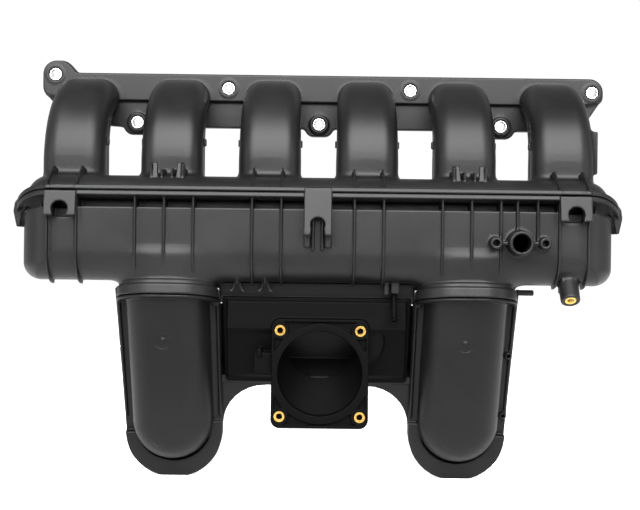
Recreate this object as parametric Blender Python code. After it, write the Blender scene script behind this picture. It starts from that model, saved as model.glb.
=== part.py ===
"""Intake manifold for an inline six-cylinder engine, as the separate mouldings and fittings it is welded from.

Frame: the head flange's mating face lies in the plane y = 0 and the engine is on its +Y side. +X runs along the
row of ports and +Z is up. The origin is on the mating face, midway between the third and the fourth port.
Sizes are in millimetres; the constant MM turns them into the scene's metres where a mesh is made.
"""

import math

import bmesh
import bpy
from mathutils import Matrix, Vector

MM = 0.001
GAP = 0.3  # left between two pieces that touch
WALL = 3.2  # of every moulded shell
ARC_STEPS = 3  # segments in a quarter round

# Ports and runners
PORT_PITCH = 91.0
PORT_COUNT = 6
BEND_RADIUS = 66.0
BEND_ANGLES = (0, 15, 30, 45, 60, 75, 90)
RUNNER_WIDTH = (54.5, 58.0)  # at the flange, at the plenum
RUNNER_DEPTH = (37.0, 46.0)
RUNNER_CORNER = 16.5
BORE_STEP = 0.25  # by which a bore narrows where it passes the flange and the roof

# Head flange
FLANGE_THICK = 12.0
FLANGE_TOP = 26.0
FLANGE_FOOT = -27.0
FLANGE_RIGHT = 284.0
UPPER_BOLT_Z = 12.3
LOWER_BOLT_Z = -22.6
HEAD_BOLTS = (
    (-264.5, 24.4),
    (-182.0, LOWER_BOLT_Z),
    (-91.0, UPPER_BOLT_Z),
    (0.0, LOWER_BOLT_Z),
    (91.0, UPPER_BOLT_Z),
    (182.0, LOWER_BOLT_Z),
    (273.0, UPPER_BOLT_Z),
)
LIMITER_RADIUS = 6.3
LIMITER_BORE = 4.2
SEAL_WIDTH = 3.0
SEAL_DEPTH = 3.4

# Plenum, from the roof down to its floor; depths are measured forwards from the mating face
PLENUM_HALF = 270.0
PLENUM_BACK = 18.0
PLENUM_FRONT = 136.0
PLENUM_CORNER = 40.0
ROOF_Z = -76.0
SEAM_Z = -101.5
SEAM_ABOVE, SEAM_BELOW = 6.5, 3.5  # thickness of the upper and the lower seam flange
SEAM_OVERHANG = 6.5
SEAM_FALL = 0.15  # how far the roof and the seam go down per millimetre towards the back
FLOOR_Z = -179.0
FLOOR_ROUND = 29.0
END_ROUND = 16.0  # the same round at the plenum's ends, across
END_TAB_DEPTHS = (86.0, 104.0)

# Ducts: two lobes below the plenum, on one weld plane that leans back as it goes down
DUCT_X = 136.5
DUCT_TOP = (101.0, -190.0)  # depth and height of the weld plane's origin, near the lobes' upper end
DUCT_LEAN = math.atan2(45.0, 175.0)
DUCT_TOE_IN = math.radians(1.7)
LOBE_LENGTH = 178.5
LOBE_HALF = (48.2, 45.6)  # at the top, where the round end starts
BULGE_HALF = 37.0
BULGE_LENGTH = 157.5
BULGE_FRONT = 37.0
BULGE_BACK = 36.0
WELD_FLANGE = 4.0
LIP_RAISE = 5.0
LIP_ENDS = (-124.0, -133.0)  # where the raised lip starts, on a lobe's inner and outer side
RIGHT_LOBE_STUDS = ((42.5, -53.5), (42.0, -113.0))
CROSSBAR_FOOT = 89.5  # below the weld plane's origin
CROSSBAR_TOP = 9.5
CROSSBAR_TOP_HALF = 89.0
CROSSBAR_FRONT = 12.0
COLLAR = (100.0, -196.0)  # depth and height where the necks' collars meet the ducts
COLLAR_TILT = math.radians(8.5)
COLLAR_THICK = 11.0
NECK_HEIGHTS = (3.0, 34.0)  # over the collar's face

# Throttle flange
THROTTLE_FACE = 115.0
THROTTLE_X = 3.5
THROTTLE_Z = -261.5
THROTTLE_SIZE = (88.5, 99.3)
THROTTLE_THICK = 8.0
THROTTLE_BORE = 38.5
THROTTLE_WALL = 3.5
THROTTLE_BOLTS = (73.0, 78.3)
NECK_BACK_RADIUS = 37.5
NECK_BACK_UP = -46.0
INSERT_RADIUS = 5.2
INSERT_BORE = 2.6
INSERT_LENGTH = 9.0

# Fittings on the plenum's front and the last runner
SIDE_PLATE_X = 261.0
SENSOR_X, SENSOR_Z = 179.0, -141.0
SENSOR_RADIUS, SENSOR_BORE = 10.8, 8.0
SENSOR_SCREWS = (-21.6, 21.8)
BRACKET_BOSS = (226.0, 133.0, -192.0)  # x, depth and height of the boss's end face
BRACKET_AXIS = Vector((0, -0.6, -0.8))
PIPE_RADIUS, PIPE_LENGTH = 2.4, 24.0
CAP_LENGTH = 16.5

MATERIALS = {
    "shell_plastic": ((0.035, 0.035, 0.037), 0.42, 0.0),
    "duct_plastic": ((0.020, 0.020, 0.021), 0.45, 0.0),
    "throttle_plastic": ((0.010, 0.010, 0.011), 0.50, 0.0),
    "limiter_steel": ((0.78, 0.77, 0.76), 0.25, 1.0),
    "insert_brass": ((0.72, 0.50, 0.18), 0.28, 1.0),
    "seal_rubber": ((0.012, 0.012, 0.012), 0.85, 0.0),
}


# Scene, materials and the two collections


def clear_scene():
    for obj in list(bpy.data.objects):
        bpy.data.objects.remove(obj, do_unlink=True)


def new_collection(name):
    collection = bpy.data.collections.new(name)
    bpy.context.scene.collection.children.link(collection)
    return collection


def make_material(name):
    colour, roughness, metallic = MATERIALS[name]
    material = bpy.data.materials.new(name)
    material.use_nodes = True
    shader = material.node_tree.nodes["Principled BSDF"]
    shader.inputs["Base Color"].default_value = (*colour, 1)
    shader.inputs["Roughness"].default_value = roughness
    shader.inputs["Metallic"].default_value = metallic
    return material


clear_scene()
PARTS = new_collection("intake_manifold")
CUTTERS = new_collection("cutters")
FINISHES = {name: make_material(name) for name in MATERIALS}


# Outlines: lists of points in a plane


def rounded_outline(corners, steps=ARC_STEPS):
    """A closed polygon whose corners, given as (u, v, radius), are turned into arcs."""
    points = []
    for i, (u, v, radius) in enumerate(corners):
        here = Vector((u, v))
        before = (Vector(corners[i - 1][:2]) - here).normalized()
        after = (Vector(corners[(i + 1) % len(corners)][:2]) - here).normalized()
        if radius == 0:
            points.append(here)
            continue
        half = before.angle(after) / 2
        centre = here + (before + after).normalized() * (radius / math.sin(half))
        start = here + before * (radius / math.tan(half)) - centre
        sweep = start.angle_signed(here + after * (radius / math.tan(half)) - centre)
        for step in range(steps + 1):
            turn = Matrix.Rotation(-sweep * step / steps, 2)
            points.append(centre + turn @ start)
    return [(p.x, p.y) for p in points]


def rounded_rectangle(width, height, radius, centre=(0, 0), steps=ARC_STEPS):
    u, v = width / 2, height / 2
    signs = ((1, -1), (1, 1), (-1, 1), (-1, -1))
    return rounded_outline([(centre[0] + su * u, centre[1] + sv * v, radius) for su, sv in signs], steps)


def circle(radius, centre=(0, 0), sides=16):
    turns = [2 * math.pi * (i + 0.5) / sides for i in range(sides)]
    return [(centre[0] + radius * math.cos(t), centre[1] + radius * math.sin(t)) for t in turns]


# Placing: each of these turns a plane's (u, v) and a distance w along its normal into a point of the frame


def on_front(u, v, w):
    """The plane of the head flange: u along X, v up, w forwards from the mating face."""
    return Vector((u, -w, v))


def on_plan(u, v, w):
    """A horizontal plane: u along X, v forwards from the mating face, w up."""
    return Vector((u, -v, w))


def on_side(u, v, w):
    """A plane across the row: u forwards from the mating face, v up, w along X."""
    return Vector((w, -u, v))


WELD_UP = Vector((0, -math.sin(DUCT_LEAN), math.cos(DUCT_LEAN)))
WELD_OUT = Vector((0, -math.cos(DUCT_LEAN), -math.sin(DUCT_LEAN)))
WELD_ORIGIN = Vector((0, -DUCT_TOP[0], DUCT_TOP[1]))


def on_weld(u, v, w):
    """The ducts' weld plane: u along X, v up the plane from the lobes' upper end, w out towards the front."""
    return WELD_ORIGIN + Vector((u, 0, 0)) + WELD_UP * v + WELD_OUT * w


def on_lobe(side):
    """A lobe's own version of the weld plane: u is measured from its centre line, which toes in."""

    def place(u, v, w):
        across = u * math.cos(DUCT_TOE_IN) + side * v * math.sin(DUCT_TOE_IN)
        up = v * math.cos(DUCT_TOE_IN) - side * u * math.sin(DUCT_TOE_IN)
        return on_weld(side * DUCT_X + across, up, w)

    return place


# Solids


def to_object(name, bm, collection):
    bmesh.ops.recalc_face_normals(bm, faces=bm.faces)
    bmesh.ops.triangulate(bm, faces=bm.faces)
    bmesh.ops.scale(bm, vec=(MM, MM, MM), verts=bm.verts)
    mesh = bpy.data.meshes.new(name)
    bm.to_mesh(mesh)
    bm.free()
    obj = bpy.data.objects.new(name, mesh)
    collection.objects.link(obj)
    return obj


def helper(bm):
    """A solid that is joined to a part or cut from it."""
    obj = to_object("tool", bm, CUTTERS)
    obj.hide_render = True
    obj.display_type = "WIRE"
    return obj


def loft(rings):
    """A closed skin through rings that have the same number of points, with a flat cap at each end."""
    bm = bmesh.new()
    rows = [[bm.verts.new(point) for point in ring] for ring in rings]
    for row, after in zip(rows, rows[1:]):
        for i in range(len(row)):
            j = (i + 1) % len(row)
            bm.faces.new((row[i], row[j], after[j], after[i]))
    bm.faces.new(rows[0])
    bm.faces.new(rows[-1])
    return bm


def prism(outline, place, low, high):
    """An outline pushed from the distance low to the distance high."""
    return loft([[place(u, v, w) for u, v in outline] for w in (low, high)])


def ring_prism(outer, inner, place, low, high):
    """A prism with a hole through it; both outlines have the same number of points."""
    walls = ((outer, low), (outer, high), (inner, high), (inner, low))
    rows = [[place(u, v, w) for u, v in outline] for outline, w in walls]
    bm = bmesh.new()
    verts = [[bm.verts.new(point) for point in row] for row in rows]
    for k in range(4):
        row, after = verts[k], verts[(k + 1) % 4]
        for i in range(len(row)):
            j = (i + 1) % len(row)
            bm.faces.new((row[i], row[j], after[j], after[i]))
    return bm


def block(low, high):
    """A box between two corners given as (x, depth, height)."""
    bm = bmesh.new()
    bmesh.ops.create_cube(bm, size=1)
    a, b = (Vector((x, -d, z)) for x, d, z in (low, high))
    size = Vector(abs(p - q) for p, q in zip(a, b))
    bmesh.ops.scale(bm, vec=size, verts=bm.verts)
    bmesh.ops.translate(bm, vec=(a + b) / 2, verts=bm.verts)
    return bm


def rod(start, end, radius, end_radius=None, sides=16):
    """A round bar or cone between two points of the frame."""
    bm = bmesh.new()
    along = end - start
    last = radius if end_radius is None else end_radius
    bmesh.ops.create_cone(bm, cap_ends=True, segments=sides, radius1=radius, radius2=last, depth=along.length)
    turn = along.to_track_quat("Z", "Y").to_matrix().to_4x4()
    bmesh.ops.transform(bm, matrix=Matrix.Translation((start + end) / 2) @ turn, verts=bm.verts)
    return bm


def peg(x, z, radius, low, high, sides=16):
    """A round bar along Y at (x, z), between two depths."""
    return rod(on_front(x, z, low), on_front(x, z, high), radius, sides=sides)


def combine(obj, bm, operation):
    modifier = obj.modifiers.new(operation.lower(), "BOOLEAN")
    modifier.operation = operation
    modifier.object = helper(bm)


def add(obj, *solids):
    for bm in solids:
        combine(obj, bm, "UNION")


def cut(obj, *solids):
    for bm in solids:
        combine(obj, bm, "DIFFERENCE")


def part(name, finish, bm):
    obj = to_object(name, bm, PARTS)
    obj.data.materials.append(FINISHES[finish])
    return obj


# Runners


def port_x(number):
    return PORT_PITCH * (number - (PORT_COUNT - 1) / 2)


def seam_fall(depth):
    """How much lower the roof and the seam are at a depth than at the plenum's front."""
    return SEAM_FALL * (PLENUM_FRONT - depth)


def runner_stations(start_depth, end_z):
    """The centre line from the flange, round the bend and down: depth, height, direction outwards, share of the way."""
    stations = [(start_depth, 0.0, 0.0, 0.0)]
    for degrees in BEND_ANGLES:
        turn = math.radians(degrees)
        depth = FLANGE_THICK + BEND_RADIUS * math.sin(turn)
        stations.append((depth, BEND_RADIUS * (math.cos(turn) - 1), turn, degrees / 90))
    stations.append((FLANGE_THICK + BEND_RADIUS, end_z, math.radians(90), 1.0))
    return stations


def runner_rings(x, outline_at, start_depth, end_z):
    """Rings across the centre line; outline_at(width, depth) gives a ring's points as (across, outwards)."""
    rings = []
    for depth, z, turn, share in runner_stations(start_depth, end_z):
        width = RUNNER_WIDTH[0] + share * (RUNNER_WIDTH[1] - RUNNER_WIDTH[0])
        height = RUNNER_DEPTH[0] + share * (RUNNER_DEPTH[1] - RUNNER_DEPTH[0])
        ring = outline_at(width, height)
        rings.append([on_front(x + u, z + v * math.cos(turn), depth + v * math.sin(turn)) for u, v in ring])
    for point in rings[-1]:
        point.z -= seam_fall(-point.y)
    return rings


def half_outline(width, height, radius):
    """The outer half of a rounded rectangle, from its right side to its left, open along the split."""
    whole = rounded_rectangle(width, height, radius)
    quarter = ARC_STEPS + 1
    return [(width / 2, GAP / 2)] + whole[quarter : 3 * quarter] + [(-width / 2, GAP / 2)]


def outer_half(width, height):
    """The section of the shell on the outside of the bend: a trough with its wall's thickness."""
    outside = half_outline(width, height, RUNNER_CORNER)
    inside = half_outline(width - 2 * WALL, height - 2 * WALL, RUNNER_CORNER - WALL)
    return outside + inside[::-1]


def inner_half(width, height):
    return [(u, -v) for u, v in outer_half(width, height)]


def make_runner_inner_shell(number):
    rings = runner_rings(port_x(number), inner_half, FLANGE_THICK + GAP, ROOF_Z + GAP)
    rings.pop(1)
    return part(f"runner_inner_shell_{number + 1}", "shell_plastic", loft(rings))


# Head flange


def flange_outline():
    """The plate with its raised ear at the left, its tapered right end and a lobe under each lower bolt."""
    corners = [
        (-251, FLANGE_FOOT + 4, 4),
        (-277, 8, 14),
        (-277, 38, 13),
        (-254, 38, 12),
        (-243, FLANGE_TOP, 6),
        (FLANGE_RIGHT, FLANGE_TOP, 13),
        (FLANGE_RIGHT, 6, 9),
        (262, FLANGE_FOOT, 3),
    ]
    for x in (182.0, 0.0, -182.0):
        corners += [
            (x + 15, FLANGE_FOOT, 3),
            (x + 11, LOWER_BOLT_Z - 13, 9),
            (x - 11, LOWER_BOLT_Z - 13, 9),
            (x - 15, FLANGE_FOOT, 3),
        ]
    return rounded_outline(corners, steps=2)


def port_outline(grow, end=0, centre=(0, 0)):
    """A runner's bore at its flange end (0) or plenum end (1), larger on every side by grow."""
    width = RUNNER_WIDTH[end] - 2 * WALL + 2 * grow
    height = RUNNER_DEPTH[end] - 2 * WALL + 2 * grow
    return rounded_rectangle(width, height, RUNNER_CORNER - WALL + grow, centre)


def shifted(outline, du, dv=0.0):
    return [(u + du, v + dv) for u, v in outline]


def make_port_seal(number):
    x = port_x(number)
    outer = shifted(port_outline(1.6 + SEAL_WIDTH), x)
    inner = shifted(port_outline(1.6), x)
    return part(f"port_seal_{number + 1}", "seal_rubber", ring_prism(outer, inner, on_front, GAP, SEAL_DEPTH - GAP))


def seal_groove(number):
    x = port_x(number)
    outer = shifted(port_outline(1.6 + SEAL_WIDTH + GAP), x)
    inner = shifted(port_outline(1.6 - GAP), x)
    return ring_prism(outer, inner, on_front, -1, SEAL_DEPTH)


def make_limiter(number):
    x, z = HEAD_BOLTS[number]
    outer, inner = circle(LIMITER_RADIUS, (x, z)), circle(LIMITER_BORE, (x, z))
    solid = ring_prism(outer, inner, on_front, 0.2, FLANGE_THICK - 0.2)
    return part(f"compression_limiter_{number + 1}", "limiter_steel", solid)


# Plenum


def plan_ring(inset, z, front_inset=None, end_inset=None, level=False):
    """A rounded rectangle of the plenum's plan, drawn in from its widest outline; it falls towards the back unless it is
    level. z is its height at the plenum's front."""
    front = PLENUM_FRONT - (inset if front_inset is None else front_inset)
    back = PLENUM_BACK + inset
    half = PLENUM_HALF - (inset if end_inset is None else end_inset)
    radius = max(PLENUM_CORNER - inset, 8)
    outline = rounded_rectangle(2 * half, front - back, radius, (0, (front + back) / 2))
    return [on_plan(u, v, z if level else z - seam_fall(v)) for u, v in outline]


def seam_flange(low, high):
    return loft([plan_ring(-SEAM_OVERHANG, z) for z in (low, high)])


def roof(wall):
    """The plenum's upper half, thinner by wall on every side; a thinned one runs out through the seam, and the full one
    starts inside the seam flange."""
    foot = SEAM_Z + (-1 if wall else 1)
    rings = [
        plan_ring(wall, foot),
        plan_ring(wall, -92 - wall),
        plan_ring(4 + wall, -86 - wall, 8 + wall),
        plan_ring(16 + wall, ROOF_Z - wall, 30 + wall),
    ]
    return loft(rings)


def tub(wall):
    """The plenum's lower half, thinner by wall; its floor meets its front in a round of FLOOR_ROUND and its ends in one
    of END_ROUND. It starts inside the seam flange, and a thinned one runs out through the seam."""
    rings = [plan_ring(wall, SEAM_Z - GAP + (1 if wall else -1))]
    radius = FLOOR_ROUND - wall
    for step in range(5):
        turn = math.radians(90) * step / 4.5
        inset = wall + radius * (1 - math.cos(turn))
        end_inset = wall + (END_ROUND - wall) * (1 - math.cos(turn))
        height = FLOOR_Z + FLOOR_ROUND - radius * math.sin(turn)
        rings.append(plan_ring(inset, height, end_inset=end_inset, level=True))
    rings.append(plan_ring(FLOOR_ROUND + 2, FLOOR_Z + wall, end_inset=END_ROUND + 2, level=True))
    return loft(rings)


def roof_rib(x):
    """A fin up the roof's sloping front edge."""
    outline = [(100, ROOF_Z - 12), (137, -99), (139, -97), (113, -75), (100, -79)]
    return prism(outline, on_side, x - 1.25, x + 1.25)


def front_rib(x, foot=-181.0):
    """A fin down the tub's front; a full-length one turns under with the floor."""
    if foot > -150:
        outline = [(132, -104), (139, -104), (139, foot), (132, foot)]
    else:
        outline = [(132, -104), (139, -104), (139, -150), (135, -165), (127, -175), (112, -181), (106, -170)]
    return prism(outline, on_side, x - 1.25, x + 1.25)


def fork(x, half_width, top, foot, slot_half, slot_top):
    """A bracket in front of the seam with a slot that is open at the bottom."""
    outline = [
        (x - half_width, top),
        (x + half_width, top),
        (x + half_width, foot),
        (x + slot_half, foot),
        (x + slot_half, slot_top - slot_half),
        (x + slot_half * 0.5, slot_top),
        (x - slot_half * 0.5, slot_top),
        (x - slot_half, slot_top - slot_half),
        (x - slot_half, foot),
        (x - half_width, foot),
    ]
    front = PLENUM_FRONT + SEAM_OVERHANG
    bracket = prism(outline, on_front, front + GAP, front + 4)
    low_edge = SEAM_Z - SEAM_BELOW + 0.5
    legs = [
        block((x + side * slot_half, PLENUM_FRONT - 2, foot + 1), (x + side * (half_width - 0.5), front + 1, low_edge))
        for side in (-1, 1)
    ]
    return [bracket] + legs


def two_prong_bracket(x):
    """A bracket that stands on the roof's front edge, with a slot that is open at the top."""
    corners = ((-15, -95), (15, -95), (15, -74), (7, -74), (7, -84), (4, -88), (-4, -88), (-7, -84), (-7, -74), (-15, -74))
    plate = prism([(x + u, v) for u, v in corners], on_front, 122, 125.5)
    webs = [block((x + u - 1.2, 96, -92), (x + u + 1.2, 123, -78)) for u in (-13, 13)]
    return [plate] + webs


def make_upper_shell():
    """Head flange, the outer halves of the runners and the plenum's roof: the moulding the bolts hold."""
    shell = part("upper_shell", "shell_plastic", roof(0))
    add(shell, seam_flange(SEAM_Z, SEAM_Z + SEAM_ABOVE), prism(flange_outline(), on_front, 0, FLANGE_THICK))
    for number in range(PORT_COUNT):
        rings = runner_rings(port_x(number), outer_half, FLANGE_THICK - 5, ROOF_Z - 3)
        add(shell, loft(rings))
    pairs = (-227.5, -45.5, 45.5, 227.5)
    add(shell, *(roof_rib(x + side * 13) for x in pairs for side in (-1, 1)))
    for x in (-DUCT_X, DUCT_X):
        add(shell, *two_prong_bracket(x))
    add(shell, block((SIDE_PLATE_X - 8, 79.5, -74.5), (SIDE_PLATE_X, 86, -33.5)))
    cut(shell, roof(WALL))
    for number in range(PORT_COUNT):
        x = port_x(number)
        mouth = prism(port_outline(-BORE_STEP, 0, (x, 0)), on_front, -2, FLANGE_THICK + 2)
        foot = prism(port_outline(-BORE_STEP, 1, (x, FLANGE_THICK + BEND_RADIUS)), on_plan, ROOF_Z - 21, ROOF_Z + 2)
        cut(shell, mouth, foot, seal_groove(number))
    for x, z in HEAD_BOLTS:
        cut(shell, peg(x, z, LIMITER_RADIUS + GAP, -1, FLANGE_THICK + 1))
    return shell


# Necks and ducts


def neck_outline(grow):
    """The oval where a lobe leaves the plenum, as (across, forwards)."""
    return rounded_rectangle(2 * (BULGE_HALF + grow), 70 + 2 * grow, 28 + grow, (0, COLLAR[0]))


def on_neck(side):
    """A plane across a lobe's upper end: u across, v forwards, w up; its front edge is raised."""
    lift = Matrix.Rotation(-COLLAR_TILT, 3, "X")

    def place(u, v, w):
        return Vector((side * DUCT_X + u, -COLLAR[0], COLLAR[1])) + lift @ Vector((0, COLLAR[0] - v, w))

    return place


def clip(x):
    """A Y-shaped wire clip under the tub's front edge."""
    stem = block((x - 1.5, 104, -180), (x + 1.5, 113, -168))
    arms = [
        prism([(x, -177), (x + side * 6, -187), (x + side * 3.5, -187), (x - side * 1.5, -177)], on_front, 106, 112)
        for side in (-1, 1)
    ]
    return [stem] + arms


def end_tab(side):
    """A hooked tab that hangs from the end of the seam flange."""
    half = PLENUM_HALF
    outline = [(half - 2, -112), (half - 2, -120), (half + 5, -131), (half + 8, -131), (half + 11, -116), (half + 7, -109)]
    return prism([(side * u, v) for u, v in outline], on_front, *END_TAB_DEPTHS)


def bracket_boss_point(back):
    x, depth, z = BRACKET_BOSS
    return Vector((x, -depth, z)) - BRACKET_AXIS * back


def make_lower_shell():
    """The tub with its necks, ribs, forks, sensor port and bracket boss."""
    shell = part("lower_shell", "shell_plastic", tub(0))
    add(shell, seam_flange(SEAM_Z - SEAM_BELOW, SEAM_Z - GAP))
    for side in (-1, 1):
        neck = prism(neck_outline(WALL), on_neck(side), *NECK_HEIGHTS)
        collar = prism(neck_outline(WALL + 6), on_neck(side), GAP, COLLAR_THICK)
        add(shell, neck, collar, end_tab(side))
    full_ribs = (-240.5, -214.5, -162.4, -136.5, -110.6, -58.5, -32.5, 32.5, 58.5, 110.6, 136.5, 162.4, 214.5, 240.5)
    add(shell, *(front_rib(x) for x in full_ribs))
    add(shell, front_rib(SENSOR_X - 2, -132), front_rib(SENSOR_X + 16, -140))
    add(shell, *fork(0, 12, -94, -147, 6.5, -127))
    for x in (-227.5, 227.5):
        add(shell, *fork(x, 14, -100, -121, 6.8, -111))
    add(shell, peg(SENSOR_X, SENSOR_Z, SENSOR_RADIUS, 130, 150, sides=20))
    for offset in SENSOR_SCREWS:
        add(shell, peg(SENSOR_X + offset, SENSOR_Z, 5.2, 130, 146, sides=12))
    web = block((SENSOR_X - 20, 130, SENSOR_Z - 1.5), (SENSOR_X + 20, 144, SENSOR_Z + 1.5))
    add(shell, web, rod(bracket_boss_point(34), bracket_boss_point(0), 9.4, 8.6))
    for x in (-72.6, -47.2):
        add(shell, *clip(x))
    add(shell, block((61, 104, -188), (66, 114, -172)), rod(pipe_point(-26), pipe_point(0), 3.9, sides=12))
    add(shell, rod(cap_point(-3), cap_point(CAP_LENGTH - 3), 1.5, sides=8))
    cut(shell, tub(WALL))
    for side in (-1, 1):
        cut(shell, prism(neck_outline(0), on_neck(side), -4, NECK_HEIGHTS[1] - WALL))
    cut(shell, peg(SENSOR_X, SENSOR_Z, SENSOR_BORE, 125, 155, sides=20))
    for offset in SENSOR_SCREWS:
        cut(shell, peg(SENSOR_X + offset, SENSOR_Z, 2.4, 136, 150, sides=8))
    cut(shell, rod(bracket_boss_point(INSERT_LENGTH + 1), bracket_boss_point(-2), INSERT_RADIUS + GAP))
    cut(shell, rod(pipe_point(-8 - GAP), pipe_point(2), PIPE_RADIUS + GAP, sides=12))
    return shell


def pipe_point(along):
    """A point of the vacuum pipe's axis, counted from the mouth of its socket under the tub."""
    return Vector((71.0, -110.0, -191.7)) + Vector((-0.05, -0.52, -0.85)).normalized() * along


def make_vacuum_pipe():
    """A short pipe in a socket under the tub, with a bead round its open end."""
    pipe = part("vacuum_pipe", "throttle_plastic", rod(pipe_point(-8), pipe_point(PIPE_LENGTH), PIPE_RADIUS, sides=12))
    add(pipe, rod(pipe_point(PIPE_LENGTH - 3), pipe_point(PIPE_LENGTH + 0.5), PIPE_RADIUS + 1.1, sides=12))
    cut(pipe, rod(pipe_point(-9), pipe_point(PIPE_LENGTH + 1), PIPE_RADIUS - 0.9, sides=8))
    return pipe


def cap_point(along):
    """A point of the axis of the plugged nipple on the right neck's collar, counted from the collar."""
    return Vector((DUCT_X + BULGE_HALF + WALL + 6 + along, -100.0, -186.0))


def make_vacuum_cap():
    """The blind rubber cap over the nipple."""
    cap = part("vacuum_cap", "seal_rubber", rod(cap_point(GAP), cap_point(CAP_LENGTH), 2.8, sides=12))
    cut(cap, rod(cap_point(-1), cap_point(CAP_LENGTH - 3 + GAP), 1.5 + GAP, sides=8))
    return cap


def lobe_outline(inset, half=LOBE_HALF, length=LOBE_LENGTH, top=0.0):
    """A lobe's plan on its weld plane: straight sides that close in a little, and a half-round end."""
    upper, lower = (value - inset for value in half)
    centre = length - inset - lower
    turns = [math.pi * i / 10 for i in range(11)]
    arc = [(lower * math.cos(t), -centre - lower * math.sin(t)) for t in turns]
    return [(upper, top)] + arc + [(-upper, top)]


def bulge(side, reach, wall=0.0):
    """A lobe's half tube; reach is how far it stands from the weld plane, negative for the back."""
    rings = []
    height = abs(reach) - wall
    direction = math.copysign(1, reach)
    base = -1.0 if wall else 2.0
    for turn in (0, 25, 45, 62, 78):
        inset = (BULGE_HALF - wall) * (1 - math.cos(math.radians(turn))) + wall
        out = height * math.sin(math.radians(turn)) if turn else base
        outline = lobe_outline(inset, (BULGE_HALF, BULGE_HALF), BULGE_LENGTH, 25)
        rings.append([on_lobe(side)(u, v, direction * out) for u, v in outline])
    return loft(rings)


def above_collar(side):
    """Everything of a duct above the plane where it meets the neck's collar."""
    return prism(rounded_rectangle(100, 150, 5, (0, COLLAR[0])), on_neck(side), 0, 60)


def raised_lip(side):
    """The raised rim round the lower end of a lobe's front flange, with square-cut ends."""
    right, left = LIP_ENDS if side < 0 else LIP_ENDS[::-1]

    def below_ends(outline, half):
        kept = [(u, v) for u, v in outline if v < (right if u > 0 else left) - 1]
        return [(half, right)] + kept + [(-half, left)]

    outer = below_ends(lobe_outline(0.2), LOBE_HALF[1])
    inner = below_ends(lobe_outline(10, length=LOBE_LENGTH - 9), LOBE_HALF[1] - 9.5)
    return prism(outer + inner[::-1], on_lobe(side), WELD_FLANGE - 1, WELD_FLANGE + LIP_RAISE)


def make_duct_front_shell(side, name):
    place = on_lobe(side)
    shell = part(name, "duct_plastic", prism(lobe_outline(0, top=6), place, GAP / 2, WELD_FLANGE))
    add(shell, bulge(side, BULGE_FRONT), raised_lip(side))
    studs = RIGHT_LOBE_STUDS if side > 0 else ()
    for u, v in studs:
        add(shell, rod(place(u, v, WELD_FLANGE - 1), place(u, v, WELD_FLANGE + 5), 3.4, sides=12))
    cut(shell, bulge(side, BULGE_FRONT, WALL), above_collar(side))
    for u, v in studs:
        cut(shell, rod(place(u, v, WELD_FLANGE), place(u, v, WELD_FLANGE + 6), 1.5, sides=8))
    return shell


def lobe_on_weld(side):
    """A lobe's outline in the weld plane's own coordinates, from its outer side to its inner one."""
    place = on_lobe(side)
    points = [place(side * u, v, 0) - WELD_ORIGIN for u, v in lobe_outline(0, top=6)]
    return [(p.x, p.dot(WELD_UP)) for p in points]


def weld_outline():
    """The rear shell's flange: both lobes, the crossbar's arched foot between them and its top, which closes the space
    under the plenum."""
    inner = DUCT_X - LOBE_HALF[0]
    half = CROSSBAR_TOP_HALF
    right = [(u, v, 0) for u, v in lobe_on_weld(1)[:-1]] + [(inner - 1, -CROSSBAR_FOOT, 30)]
    left = [(u, v, 0) for u, v in lobe_on_weld(-1)[:-1]] + [(1 - inner, -CROSSBAR_FOOT, 30)]
    top = [(-half, 6, 0), (-half, CROSSBAR_TOP, 0), (half, CROSSBAR_TOP, 0), (half, 6, 0)]
    return rounded_outline(right + left[::-1] + top)


def crossbar(reach, wall=0.0):
    """The tube between the lobes, in front of the weld plane or behind it."""
    direction = math.copysign(1, reach)
    height = abs(reach) - wall
    base = -1.0 if wall else 2.0
    top, foot = -4.0 - wall, WELD_FLANGE + wall - CROSSBAR_FOOT
    profile = [(top, base), (foot, base), (foot + 9, height), (-26 - wall / 2, height), (top - 6, height * 0.75)]
    half = DUCT_X - BULGE_HALF + (20 if reach < 0 else -14.5)
    return loft([[on_weld(u, v, direction * w) for v, w in profile] for u in (-half, half)])


def make_duct_rear_shell():
    """One moulding behind both lobes and the crossbar that joins them."""
    shell = part("duct_rear_shell", "duct_plastic", prism(weld_outline(), on_weld, -WELD_FLANGE, -GAP / 2))
    add(shell, bulge(-1, -BULGE_BACK), bulge(1, -BULGE_BACK), crossbar(0.6 - BULGE_BACK))
    cut(shell, bulge(-1, -BULGE_BACK, WALL), bulge(1, -BULGE_BACK, WALL), crossbar(-BULGE_BACK, WALL + 0.6))
    cut(shell, above_collar(-1), above_collar(1), rod(pipe_point(-26), pipe_point(2), 5.5, sides=12))
    return shell


# Crossbar's front with the throttle neck


def neck_tube(grow, overrun=0.0):
    """The tube from behind the throttle flange back and up to the weld plane; a cutter runs on past both ends."""
    sides = 24
    mouth = circle(THROTTLE_BORE + grow, (THROTTLE_X, THROTTLE_Z), sides)
    rear = circle(NECK_BACK_RADIUS + grow, (THROTTLE_X, NECK_BACK_UP), sides)
    rings = [[on_front(u, v, depth) for u, v in mouth] for depth in (THROTTLE_FACE - 2 + 2 * overrun, THROTTLE_FACE - 7)]
    rings.append([on_weld(u, v, GAP - overrun) for u, v in rear])
    return loft(rings)


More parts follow.
